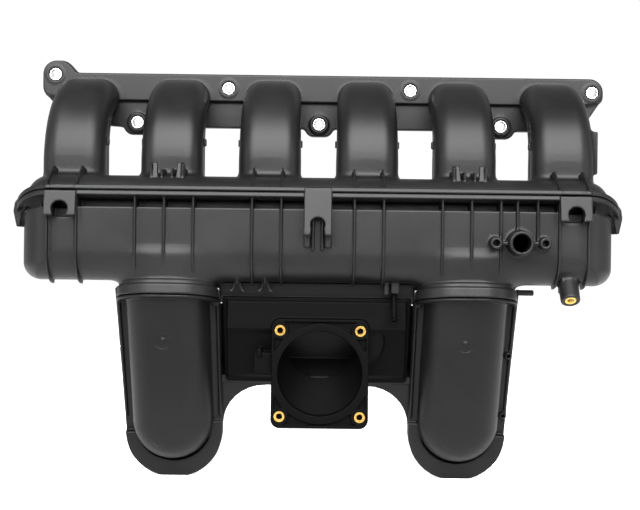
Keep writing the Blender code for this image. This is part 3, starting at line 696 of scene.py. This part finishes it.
def fork(x, half_width, top, foot, slot_half, mouth_half, slot_top):
    """A plate in front of the seam with a slot that is open at the bottom and round at its top."""
    front = PLENUM_FRONT + SEAM_OVERHANG
    bend = slot_top - slot_half
    turns = [radians(a) for a in range(-30, 211, 15)]
    slot = [(x + slot_half * cos(t), bend + slot_half * sin(t)) for t in turns]
    left = [(x - mouth_half, foot), (x - half_width, foot), (x - half_width, top)]
    right = [(x + half_width, top), (x + half_width, foot), (x + mouth_half, foot)]
    upright = plate(slot + left + right, "d", front - 1.0, front + 3.6, 0.8)
    mid_height = (top + foot) / 2
    return Shape(upright.low, upright.high, lambda x, d, z: upright.distance(x, d + SEAM_FALL * (z - mid_height), z))


def end_tab(side):
    """A hooked tab that hangs from the end of the seam flange."""
    corners = ((-4, -103), (5, -104), (8.5, -109), (9.5, -117), (6.5, -131), (3.5, -131), (1, -118), (-4, -114))
    return plate([(side * (PLENUM_HALF + u), v) for u, v in corners], "d", 86, 104, 1.0)


def make_lower():
    low = (LOWER_LOW.x - 4, LOWER_LOW.y - 6, LOWER_LOW.z - 5)
    field = Field(low, (LOWER_HIGH.x + 4, LOWER_HIGH.y + 5, LOWER_HIGH.z + 4))
    field.join(Shape(low, LOWER_HIGH, tub_form).within(lambda x, d, z: z + fall(d, x) - SEAM_Z + GAP))
    field.cut(everywhere_between(-114 - fall(0) - 2 * END_DROP, -103, below_seam_groove))
    for side in (-1, 1):
        x = side * SIDE_FORK_X
        field.cut(block((x - 8.5, PLENUM_FRONT - 8, -122), (x + 8.5, PLENUM_FRONT + 6, -104), 1.0), blend=1)
        field.join(neck(side, WALL, 3, 34), blend=14)
        field.join(neck(side, WALL + 3.4, 2, 13.5, 1.0), blend=2.5)
        field.join(neck(side, WALL + 6, GAP, 9.7, 1.0), blend=1.5)
        field.join(end_tab(side), blend=2)
    field.join(seam_flange(SEAM_Z - SEAM_BELOW, SEAM_Z - GAP, 1.0), blend=0.6)
    for half in (32.5, 58.5, 110.6, 136.5, 162.4, 214.5, 240.5):
        for x in (-half, half):
            field.join(front_rib(x), blend=0.8)
    for x, foot in ((177.0, -132.0), (195.0, -140.0)):
        field.join(front_rib(x, foot), blend=1.2)
    front = PLENUM_FRONT + SEAM_OVERHANG
    field.join(fork(0, 12.3, -94, -136.5, 6.4, 6.4, -120.5))
    for side in (-1, 1):
        field.join(block((side * 6.4, PLENUM_FRONT - 3, -147), (side * 12.0, PLENUM_FRONT + 3.5, -103), 0.8))
        field.join(block((side * 4.1 - 0.9, PLENUM_FRONT - 3, -150), (side * 4.1 + 0.9, front - 1, -121), 0.6))
        field.join(fork(side * SIDE_FORK_X, 14.2, -99, -121.5, 7.2, 6.0, -108.5), blend=0.8)
        for leg in (-1, 1):
            x = side * SIDE_FORK_X + leg * 10.2
            field.join(block((x - 2.6, PLENUM_FRONT - 3, -119), (x + 2.6, front, -103), 0.8))
    field.join(peg(SENSOR_X, SENSOR_Z, 128, 150, 11.6, 10.8, 0.9), blend=3)
    for offset in SENSOR_SCREWS:
        field.join(peg(SENSOR_X + offset, SENSOR_Z, 128, 146, 5.8, 5.3, 0.8), blend=2)
    field.join(block((SENSOR_X - 20, 128, SENSOR_Z - 1.6), (SENSOR_X + 20, 143, SENSOR_Z + 1.6), 0.7), blend=1.2)
    field.join(rod(BRACKET_BOSS - BRACKET_AXIS * 34, BRACKET_BOSS, 9.4, 8.6, 0.8), blend=3)
    for side in (-1, 1):
        x = BRACKET_BOSS.x + side * 6
        field.join(block((x - 1, 112, -186), (x + 1, 128, -172), 0.6), blend=1.5)
    for x in (-72.6, -47.2):
        field.join(rod((x, 127, -167), (x, 114.5, -180.5), 1.9, 1.6), blend=0.5)
        for side in (-1, 1):
            field.join(rod((x + side * 0.6, 111, -177), (x + side * 4.6, 111, -187), 1.5, 1.3, 0.6), blend=0.8)
            field.join(block((x + side * 3.6, 109, -188.2), (x + side * 7.2, 113, -185.6), 0.7), blend=0.8)
    field.join(block((60.8, 104.2, -189), (65.4, 114.5, -171), 0.9), blend=1.0)
    field.join(block((67.2, 104.2, -188), (75.2, 114.5, -169.5), 1.2), blend=1.0)
    cap_low, cap_high = box_mm("vacuum_cap")
    _, d, z = middle("vacuum_cap")
    field.join(rod((cap_low.x - 4, d, z), (cap_high.x - 3.6, d, z), 1.5))
    field.cut(Shape(low, LOWER_HIGH, tub_cavity))
    for side in (-1, 1):
        field.cut(neck(side, 0, -4, 40))
    field.cut(peg(SENSOR_X, SENSOR_Z, 120, 155, 8.0, 8.0, 0))
    for offset in SENSOR_SCREWS:
        field.cut(peg(SENSOR_X + offset, SENSOR_Z, 136, 150, 2.7, 2.7, 0))
    field.cut(rod(BRACKET_BOSS - BRACKET_AXIS * 10, BRACKET_BOSS + BRACKET_AXIS * 2, 5.5, edge=0))
    return field


# Inner halves of the runners, and the seals


def make_runner_inner():
    """One inner half, round x = 0."""
    field = Field((-36, FLANGE_THICK - 2, ROOF_Z - 16), (36, 84, 4))
    field.join(runner(0, 0, GAP, QUARTER - BEND_RADIUS - ROOF_Z - GAP, side=-1))
    for side in (-1, 1):
        field.join(block((side * 26, 76.8, -53), (side * 30.6, 77.9, -46), 0.5), blend=1.0)
    field.join(runner(0, 1.6, GAP, 3.2, side=-1), blend=1.5)
    field.join(runner(0, 1.6, QUARTER + ROOF_DROP - 3.2, QUARTER + ROOF_DROP - GAP, side=-1), blend=1.5)
    field.cut(runner(0, -WALL, -4, QUARTER + 40))
    return field


def make_seal():
    """A port's seal round x = 0: a flat rubber loop with a rounded bead on each face."""
    field = Field((-36, -1, -28), (36, 5, 28), pitch=0.5)

    def band(x, d, z):
        return pushed(np.abs(in_port(x, z, SEAL_GROW)) - 1.45, np.abs(d - 1.8) - 0.9, 0.5)

    def bead(x, d, z):
        return np.hypot(in_port(x, z, SEAL_GROW), (d - 1.6) * 0.9) - 1.2

    low, high = (-34, 0, -26), (34, 4, 26)
    field.join(Shape(low, high, band))
    field.join(Shape(low, high, bead), blend=0.5)
    return field


# Ducts

WELD_FRAME = Matrix.Translation((0, -WELD_DEPTH, WELD_Z)) @ Matrix.Rotation(DUCT_LEAN, 4, "X")


def lobe_frame(side):
    """A lobe's own frame in its weld plane: x across from its centre line, depth out of the plane, z up it."""
    return WELD_FRAME @ Matrix.Translation((side * DUCT_X, 0, 0)) @ Matrix.Rotation(side * DUCT_TOE_IN, 4, "Y")


def seen_from(place, shape):
    """A shape of the main frame as a grid in another frame has it."""

    def distance(x, d, z):
        rows = [place[i][0] * x - place[i][1] * d + place[i][2] * z + place[i][3] for i in range(3)]
        return shape.distance(rows[0], -rows[1], rows[2])

    return everywhere(distance)


def lobe_outline(inset, length=LOBE_LENGTH):
    """A lobe's plan on the weld plane: straight sides that close in a little, and a half-round end."""
    upper, lower = (value - inset for value in LOBE_HALF)
    centre = length - inset - lower
    arc = [pi * i / 32 for i in range(33)]
    return [(upper, 6)] + [(lower * cos(t), -centre - lower * sin(t)) for t in arc] + [(-upper, 6)]


def bulge(reach, grow=0.0):
    """A lobe's half tube with rounded shoulders; reach is negative for the back."""
    direction = copysign(1, reach)
    foot = BULGE_HALF - BULGE_LENGTH

    def distance(x, d, z):
        below = np.minimum(z - foot, 0)
        flat = np.hypot(x, below) - BULGE_HALF - grow
        return pushed(flat, direction * d - abs(reach) - grow, 27 + grow)

    low = (-BULGE_HALF - 3, min(reach, 0) - 3, -BULGE_LENGTH - 3)
    return Shape(low, (BULGE_HALF + 3, max(reach, 0) + 3, 30), distance)


def above_collar(side):
    def distance(x, d, z):
        across, _, up = neck_way(side, x, d, z)
        return np.maximum(-up, np.abs(across) - 46.8)

    return everywhere(distance)


def top_rim(side):
    """The thin flange by which a duct meets its neck's collar."""
    return neck(side, WALL + 6, -3.0, -GAP, 0.7)


def raised_lip(side):
    """The raised rim round the lower end of a lobe's front flange, with square-cut ends."""
    right, left = (-124.0, -133.0) if side < 0 else (-133.0, -124.0)

    def below_ends(outline, half):
        kept = [(u, v) for u, v in outline if v < (right if u > 0 else left) - 1]
        return [(half, right)] + kept + [(-half, left)]

    inner = below_ends(lobe_outline(9.5, length=LOBE_LENGTH - 8.5), LOBE_HALF[1] - 9.5)
    outline = below_ends(lobe_outline(0.2), LOBE_HALF[1]) + inner[::-1]

    def distance(x, d, z):
        top = WELD_FLANGE + 3.6 + np.clip(-124 - z, 0, 30) * 0.2
        return pushed(in_outline(outline, x, z), np.maximum(d - top, 1 - d), 0.9)

    return Shape((-LOBE_HALF[0], 0, -LOBE_LENGTH), (LOBE_HALF[0], 16, -110), distance)


def make_duct_front(side):
    place = lobe_frame(side)
    field = Field((-52, -3, -LOBE_LENGTH - 4), (52, 46, 24), place=place)
    field.join(plate(lobe_outline(0), "d", GAP / 2, WELD_FLANGE, 0.8))
    field.join(bulge(37.0), blend=3.5)
    field.join(raised_lip(side), blend=0.8)
    for edge in (-1, 1):
        rail = [(edge * 44.0, -3), (edge * 46.6, -3), (edge * 45.2, -119), (edge * 42.8, -119)]
        field.join(plate(rail, "d", WELD_FLANGE - 1, WELD_FLANGE + 1.6, 0.7), blend=0.6)
    corner = -side * 43.5
    field.join(block((corner - 3.4, 2, -11), (corner + 3.4, WELD_FLANGE + 4, 3), 0.8), blend=0.8)
    rim = seen_from(place, top_rim(side))
    field.join(rim.within(lambda x, d, z: GAP / 2 - d), blend=0.6)
    field.cut(peg(-2, -34, 36.2, 40, 7.4, 8.6, 0.3), blend=1.2)
    field.join(peg(-2, -34, 33, 37.6, 3.6, 2.2, 0.8), blend=1.2)
    for u, v in ((-10.4, -132.0), (8.3, -132.0)):
        field.join(peg(u, v, 30, 36.2, 4.2, 3.8, 0.3), blend=0.5)
    studs = ((42.5, -53.5), (42.0, -113.0)) if side > 0 else ()
    for u, v in studs:
        field.join(peg(u, v, 2, WELD_FLANGE + 5, 4.0, 3.4, 0.5), blend=1.0)
        field.cut(peg(u, v, WELD_FLANGE, WELD_FLANGE + 6, 1.6, 1.6, 0))
    if side < 0:
        field.cut(peg(-48.6, -50, -1, 6, 2.0, 2.0, 0), blend=0.5)
    field.cut(bulge(37.0, -WALL).within(lambda x, d, z: -1 - d))
    field.cut(seen_from(place, above_collar(side)))
    return field


def weld_outline():
    """The rear shell's flange: both lobes, the crossbar's arched foot between them and its top under the plenum."""
    c, s = cos(DUCT_TOE_IN), sin(DUCT_TOE_IN)
    lobe = [(DUCT_X + u * c + v * s, v * c - u * s, 0) for u, v in lobe_outline(0)[:-1]]
    top = [(CROSSBAR_TOP_HALF, CROSSBAR_TOP, 1), (CROSSBAR_TOP_HALF, 6, 0)]
    return rounded_outline(mirrored(top + lobe + [(DUCT_X - LOBE_HALF[0] - 1, -CROSSBAR_FOOT, 40)]))


def crossbar(profile, half):
    """A profile given as (out of the weld plane, up it), run along the crossbar."""
    return plate(profile, "x", -half, half, 0.8)


def lobe_shape(side, shape):
    """A lobe's shape in the weld plane's frame."""
    c, s = cos(DUCT_TOE_IN), sin(DUCT_TOE_IN)

    def distance(x, d, z):
        return shape.distance((x - side * DUCT_X) * c - side * z * s, d, z * c + side * (x - side * DUCT_X) * s)

    low = (side * DUCT_X + shape.low[0] - 6, shape.low[1], shape.low[2] - 2)
    return Shape(low, (side * DUCT_X + shape.high[0] + 6, shape.high[1], shape.high[2] + 2), distance)


def make_duct_rear():
    field = Field((-192, -42, -LOBE_LENGTH - 4), (192, 4, 26), place=WELD_FRAME)
    field.join(plate(weld_outline(), "d", -WELD_FLANGE, -GAP / 2, 0.7))
    back = rounded_outline([(2, -4, 0), (2, -85.5, 0), (-35.4, -77.5, 12), (-35.4, -26, 14), (-27, -10, 8)])
    field.join(crossbar(back, 118), blend=4)
    for x in (-60, -30, 0, 30, 60):
        field.join(plate([(-3, -85), (-36, -74), (-36, -28), (-3, -8)], "x", x - 1.3, x + 1.3, 0.8), blend=1.5)
    for side in (-1, 1):
        field.join(lobe_shape(side, bulge(-36.0)), blend=5)
        rim = seen_from(WELD_FRAME, top_rim(side))
        field.join(rim.within(lambda x, d, z: d + GAP / 2), blend=0.6)
    hollow = [(4, -7.4), (4, -79.5), (-32.2, -73.5), (-32.2, -28), (-25, -13)]
    field.cut(crossbar(hollow, 118))
    for side in (-1, 1):
        inside = bulge(-36.0, -WALL).within(lambda x, d, z: d - 4)
        field.cut(lobe_shape(side, inside), seen_from(WELD_FRAME, above_collar(side)))
    for inner, outer in ((-92.4, -88), (88, 92.4)):
        field.join(block((inner, -WELD_FLANGE, 4.6), (outer, -GAP / 2, CROSSBAR_TOP), 0.3))
    return field


# Throttle moulding


def weld_way(x, d, z):
    """A point of the main frame as the weld plane's frame has it: across, out of the plane, up it."""
    c, s = cos(DUCT_LEAN), sin(DUCT_LEAN)
    return x, (d - WELD_DEPTH) * c - (z - WELD_Z) * s, (z - WELD_Z) * c + (d - WELD_DEPTH) * s


def on_weld(shape, low, high):
    return Shape(low, high, lambda x, d, z: shape.distance(*weld_way(x, d, z)))


def throttle_neck(grow, front):
    """The tube between the throttle flange's round bore and the weld plane, which it meets at a slant."""
    mouth = Vector((THROTTLE_FACE - 7, THROTTLE_Z))
    rear = Vector((WELD_DEPTH - 46 * sin(DUCT_LEAN), WELD_Z - 46 * cos(DUCT_LEAN)))
    behind = mouth.x - rear.x
    before = weld_way(0, mouth.x, mouth.y)[1]

    def distance(x, d, z):
        from_mouth = np.maximum(mouth.x - d, 0)
        from_rear = np.maximum(weld_way(x, d, z)[1], 0)
        share = from_mouth / np.maximum(from_mouth + from_rear, 1e-3)
        way = share * before / (behind * (1 - share) + share * before)
        centre_d = np.where(d > mouth.x, d, mouth.x + (rear.x - mouth.x) * way)
        out = np.sqrt((x - THROTTLE_X) ** 2 + (d - centre_d) ** 2 + (z - mouth.y - (rear.y - mouth.y) * way) ** 2)
        return np.maximum(out - THROTTLE_BORE - grow + BORE_TAPER * way, d - front)

    return distance


def make_throttle():
    low = (THROTTLE_LOW.x - 3, THROTTLE_LOW.y - 4, THROTTLE_LOW.z - 4)
    high = (THROTTLE_HIGH.x + 3, THROTTLE_HIGH.y + 4, THROTTLE_HIGH.z + 4)
    field = Field(low, high, pitch=PITCH * 0.8)
    wall = rounded_outline(mirrored([(86.5, -2, 0), (84.7, -84, 4)]))
    field.join(on_weld(plate(wall, "d", GAP / 2, WELD_FLANGE, 0.7), low, high))
    front = rounded_outline([(1, -4, 0), (1, -82, 0), (11, -75, 5), (12, -34, 3), (14.5, -29, 1.5), (6, -5, 2)])
    field.join(on_weld(crossbar(front, 82), low, high), blend=2)
    field.join(Shape(low, high, throttle_neck(3.6, THROTTLE_FACE - 1)), blend=3)
    x, z = THROTTLE_X, THROTTLE_Z
    field.join(block((-57, 92, z), (-36, 108.5, z + 18.5), 1.2), blend=1.5)
    field.join(block((-54, 95, z + 14), (-50, 110, z + 22.5), 0.8), blend=1.0)
    field.join(peg(42, -233, 94, 106, 21.0, 20.0, 1.5), blend=2)
    width, height = 88.5, 99.3
    flange = mirrored([(width / 2, z - height / 2, 8), (width / 2, z + height / 2, 8)], x)
    field.join(plate(rounded_outline(flange), "d", THROTTLE_FACE - 8, THROTTLE_FACE, 0.8), blend=2)

    def pockets(px, pd, pz):
        inner = in_rectangle(px - x, pz - z, width - 5.0, height - 5.0, 6)
        flat = smooth_max(inner, 45.8 - np.hypot(px - x, pz - z), 1.0)
        for place in THROTTLE_INSERTS:
            flat = smooth_max(flat, 8.0 - np.hypot(px - place.x, pz - place.z), 1.0)
        return smooth_max(flat, THROTTLE_FACE - 2.8 - pd, 0.8)

    field.cut(Shape(low, high, pockets))
    inside = [(-3, -8), (-3, -79), (8.4, -72.5), (8.8, -33), (10.8, -28.5), (3.4, -8)]
    hollow, tube = crossbar(inside, 79), throttle_neck(3.2, THROTTLE_FACE)

    def cavity(px, pd, pz):
        return np.maximum(hollow.distance(*weld_way(px, pd, pz)), -tube(px, pd, pz))

    field.cut(Shape(low, high, cavity), Shape(low, high, throttle_neck(0, THROTTLE_FACE + 4)))
    field.cut(on_weld(everywhere(lambda px, pd, pz: pd - GAP / 2), low, high))
    for place in THROTTLE_INSERTS:
        field.cut(peg(place.x, place.z, THROTTLE_FACE - 5, THROTTLE_FACE + 3, 5.5, 5.5, 0))
    return field


# Fittings


def lathe(name, profile, start, axis, thread=None):
    """A ring turned round an axis; the profile is a closed loop of (along, radius). thread is a helical thread's
    pitch, its depth, where it starts and ends along the axis, and the radius under which the loop is its bore."""
    start, axis = Vector(start), Vector(axis).normalized()
    turn = axis.to_track_quat("Z", "Y").to_matrix()
    verts, faces = [], []
    for i in range(LATHE_SIDES):
        angle = 2 * pi * i / LATHE_SIDES
        for along, radius in profile:
            if thread and thread[2] < along < thread[3] and radius < thread[4]:
                phase = (along / thread[0] - i / LATHE_SIDES) % 1.0
                radius = radius + thread[1] * (1 - abs(2 * phase - 1))
            point = turn @ Vector((radius * cos(angle), radius * sin(angle), along))
            verts.append((start + point) * MM)
    count = len(profile)
    for i in range(LATHE_SIDES):
        for j in range(count):
            k, m = (i + 1) % LATHE_SIDES, (j + 1) % count
            faces.append((i * count + j, k * count + j, k * count + m, i * count + m))
    mesh = bpy.data.meshes.new(name)
    mesh.from_pydata(verts, [], faces)
    mesh.update()
    volume = sum(mesh.vertices[f.vertices[0]].co.dot(f.normal) * f.area for f in mesh.polygons)
    if volume < 0:
        mesh.flip_normals()
    mesh.shade_smooth()
    mesh.set_sharp_from_angle(angle=radians(28))
    return mesh


def sleeve_profile(length, radius, bore):
    """A steel sleeve with a small chamfer outside and a deeper one into the bore."""
    outside = [(0.0, radius - 0.5), (0.5, radius), (length - 0.5, radius), (length, radius - 0.5)]
    inside = [(length, bore + 0.9), (length - 0.9, bore), (0.9, bore), (0.0, bore + 0.9)]
    return outside + inside


def insert_profile(length):
    """A brass insert, with enough points along its bore to carry a thread."""
    radius, bore, steps = INSERT_RADIUS, INSERT_BORE, 40
    outside = [(0.0, radius - 0.6), (0.8, radius - 0.4), (length - 1.4, radius - 0.4), (length - 1.2, radius)]
    mouth = [(length - 0.3, radius), (length, radius - 0.3), (length, bore + 0.8), (length - 0.7, bore)]
    thread = [(length - 0.7 - (length - 1.0) * i / steps, bore) for i in range(1, steps)]
    return outside + mouth + thread + [(0.0, bore + 0.3)]


def scene_point(place):
    """A grid place as a point of the scene, still in millimetres."""
    return Vector((place.x, -place.y, place.z))


def add_insert(name, node_name, start, axis, length):
    thread = (0.8, 0.4, 0.3, length - 0.8, 3.0)
    mesh = lathe(name, insert_profile(length), start, axis, thread)
    add_piece(name, mesh, BRASS, node_name)


def add_fittings():
    for number, place in enumerate(HEAD_BOLTS, 1):
        low, high = box_mm(f"compression_limiter_{number}")
        start = (place.x, -low.y, place.z)
        profile = sleeve_profile(high.y - low.y, (high.x - low.x) / 2, LIMITER_BORE)
        mesh = lathe(f"limiter_sleeve_{number}", profile, start, (0, -1, 0))
        add_piece(f"limiter_sleeve_{number}", mesh, STEEL, f"compression_limiter_{number}")
    for number, place in enumerate(THROTTLE_INSERTS, 1):
        node_name = f"throttle_insert_{number}"
        low, high = box_mm(node_name)
        start = (place.x, -low.y, place.z)
        add_insert(f"throttle_threads_{number}", node_name, start, (0, -1, 0), high.y - low.y)
    axis = scene_point(BRACKET_AXIS)
    start = scene_point(middle("bracket_insert")) - axis * (INSERT_LENGTH / 2)
    add_insert("bracket_threads", "bracket_insert", start, axis, INSERT_LENGTH)


def make_vacuum_tube():
    low, high = box_mm("vacuum_pipe")
    start = Vector((high.x - 3.4, low.y + 3.4, high.z - 2))
    end = Vector((low.x + 3.4, high.y - 3.4, low.z + 2))
    along = (end - start).normalized()
    field = Field(low - Vector((2, 2, 2)), high + Vector((2, 2, 2)), pitch=0.4)
    field.join(rod(start, end, 2.4, edge=0.3))
    field.join(rod(end - along * 3.2, end, 2.5, 3.5, 0.3), rod(end - along * 0.6, end, 3.5, 3.2, 0.3), blend=0.3)
    field.cut(rod(start - along * 2, end + along * 2, 1.5, edge=0))
    return field


def make_vacuum_boot():
    low, high = box_mm("vacuum_cap")
    _, d, z = middle("vacuum_cap")
    field = Field(low - Vector((1, 1, 1)), high + Vector((1, 1, 1)), pitch=0.4)
    field.join(rod((low.x, d, z), (high.x, d, z), 2.55, edge=0.9))
    field.join(rod((low.x, d, z), (low.x + 2.4, d, z), 2.8, edge=0.6), blend=0.5)
    field.cut(rod((low.x - 1, d, z), (high.x - 3, d, z), 1.8, edge=0))
    return field


def axes_of(tree, coordinates):
    """The X, Y and Z outputs of a kind of texture coordinates."""
    where = tree.nodes.new("ShaderNodeTexCoord")
    axes = tree.nodes.new("ShaderNodeSeparateXYZ")
    tree.links.new(where.outputs[coordinates], axes.inputs["Vector"])
    return axes.outputs


def faded(tree, source, start, end, first, last):
    """The output of a node that goes from first to last as a coordinate goes from start to end."""
    made = tree.nodes.new("ShaderNodeMapRange")
    for name, value in (("From Min", start), ("From Max", end), ("To Min", first), ("To Max", last)):
        made.inputs[name].default_value = value
    tree.links.new(source, made.inputs["Value"])
    return made.outputs["Result"]


def stage():
    """A pale floor under the lobes, which glows a little like a light table; its glow and its base colour are
    painted darker towards the front, as painted shade that the object's lower faces reflect.
    """
    low = box_mm("duct_rear_shell")[0].z * MM - 0.001
    mesh = bpy.data.meshes.new("floor")
    points = [(-6, -6, low), (6, -6, low), (6, 6, low), (-6, 6, low)]
    mesh.from_pydata(points, [], [(0, 1, 2, 3)])
    floor = new_object("floor", mesh)
    finish = new_finish("pale_floor", (0.84, 0.84, 0.84), 0.6, specular=0.1)
    along = axes_of(finish.node_tree, "Object")["Y"]
    shader = shader_of(finish)
    shader.inputs["Emission Color"].default_value = (1, 1, 1, 1)
    # Painted shade: the glow and the base colour both fall off towards the front, so that downward faces reflect a
    # dark floor.
    for near, far, socket in ((0.05, 0.70, "Emission Strength"), (0.45, 0.84, "Base Color")):
        fade = faded(finish.node_tree, along, -0.45, -0.19, near, far)
        finish.node_tree.links.new(fade, shader.inputs[socket])
    floor.data.materials.append(finish)


def area_light(name, place, target, size, tall, power):
    light = bpy.data.lights.new(name, "AREA")
    light.shape = "RECTANGLE"
    light.size, light.size_y = size, tall
    light.energy = power
    obj = new_object(name, light)
    obj.location = place
    obj.rotation_euler = (Vector(target) - Vector(place)).to_track_quat("-Z", "Y").to_euler()


def surroundings():
    """A white studio wall behind the object, greyer in front of it and darker overhead."""
    world = bpy.data.worlds.new("soft_studio")
    bpy.context.scene.world = world
    world.use_nodes = True
    tree = world.node_tree
    axes = axes_of(tree, "Generated")
    both = tree.nodes.new("ShaderNodeMath")
    both.operation = "MULTIPLY"
    tree.links.new(faded(tree, axes["Y"], -0.1, 0.45, 0.20, 1.02), both.inputs[0])
    tree.links.new(faded(tree, axes["Z"], 0.3, 0.8, 1.0, 0.35), both.inputs[1])
    tree.links.new(both.outputs["Value"], tree.nodes["Background"].inputs["Strength"])
    tree.nodes["Background"].inputs["Color"].default_value = (1, 1, 1, 1)


def lights_and_camera():
    scene = bpy.context.scene
    scene.view_settings.view_transform = "Standard"
    scene.view_settings.gamma = 0.78
    centre = (0, -0.06, -0.16)
    area_light("front_panel", (0, -1.50, 0.86), centre, 2.6, 1.5, 200)
    area_light("left_panel", (-1.5, -0.7, 0.05), centre, 0.6, 1.2, 9)
    area_light("right_panel", (1.5, -0.7, 0.05), centre, 0.6, 1.2, 9)
    camera = new_object("camera", bpy.data.cameras.new("camera"))
    camera.data.lens = 61.1
    camera.data.sensor_width = 36
    camera.data.shift_x = 2.6 / PHOTO_WIDTH
    camera.data.shift_y = 0.5 / PHOTO_WIDTH
    camera.location = (0, -1.1, -0.154)
    roll = Matrix.Rotation(0.0128, 3, "Z")
    camera.rotation_euler = (Matrix.Rotation(radians(90), 3, "X") @ roll).to_euler()
    scene.camera = camera


def add_moulding(name, field, finish, node_name):
    add_piece(name, field.mesh(name), finish, node_name)


def add_mouldings():
    add_moulding("upper_moulding", make_upper(), SHELL, "upper_shell")
    add_moulding("lower_moulding", make_lower(), SHELL, "lower_shell")
    inner, seal = make_runner_inner().mesh("runner_inner"), make_seal().mesh("port_seal")
    for number, x in enumerate(PORTS, 1):
        for name, mesh, finish, kind in (
            ("runner_inner_moulding", inner, SHELL, "runner_inner_shell"),
            ("port_gasket", seal, RUBBER, "port_seal"),
        ):
            moved = mesh.copy()
            moved.transform(Matrix.Translation((x * MM, 0, 0)))
            add_piece(f"{name}_{number}", moved, finish, f"{kind}_{number}")
    for side, word in ((-1, "left"), (1, "right")):
        add_moulding(f"duct_front_moulding_{word}", make_duct_front(side), DUCT, f"duct_front_shell_{word}")
    add_moulding("duct_rear_moulding", make_duct_rear(), DUCT, "duct_rear_shell")
    add_moulding("throttle_moulding", make_throttle(), THROTTLE, "throttle_shell")
    add_moulding("vacuum_tube", make_vacuum_tube(), THROTTLE, "vacuum_pipe")
    add_moulding("vacuum_boot", make_vacuum_boot(), RUBBER, "vacuum_cap")


add_mouldings()
add_fittings()
stage()
surroundings()
lights_and_camera()
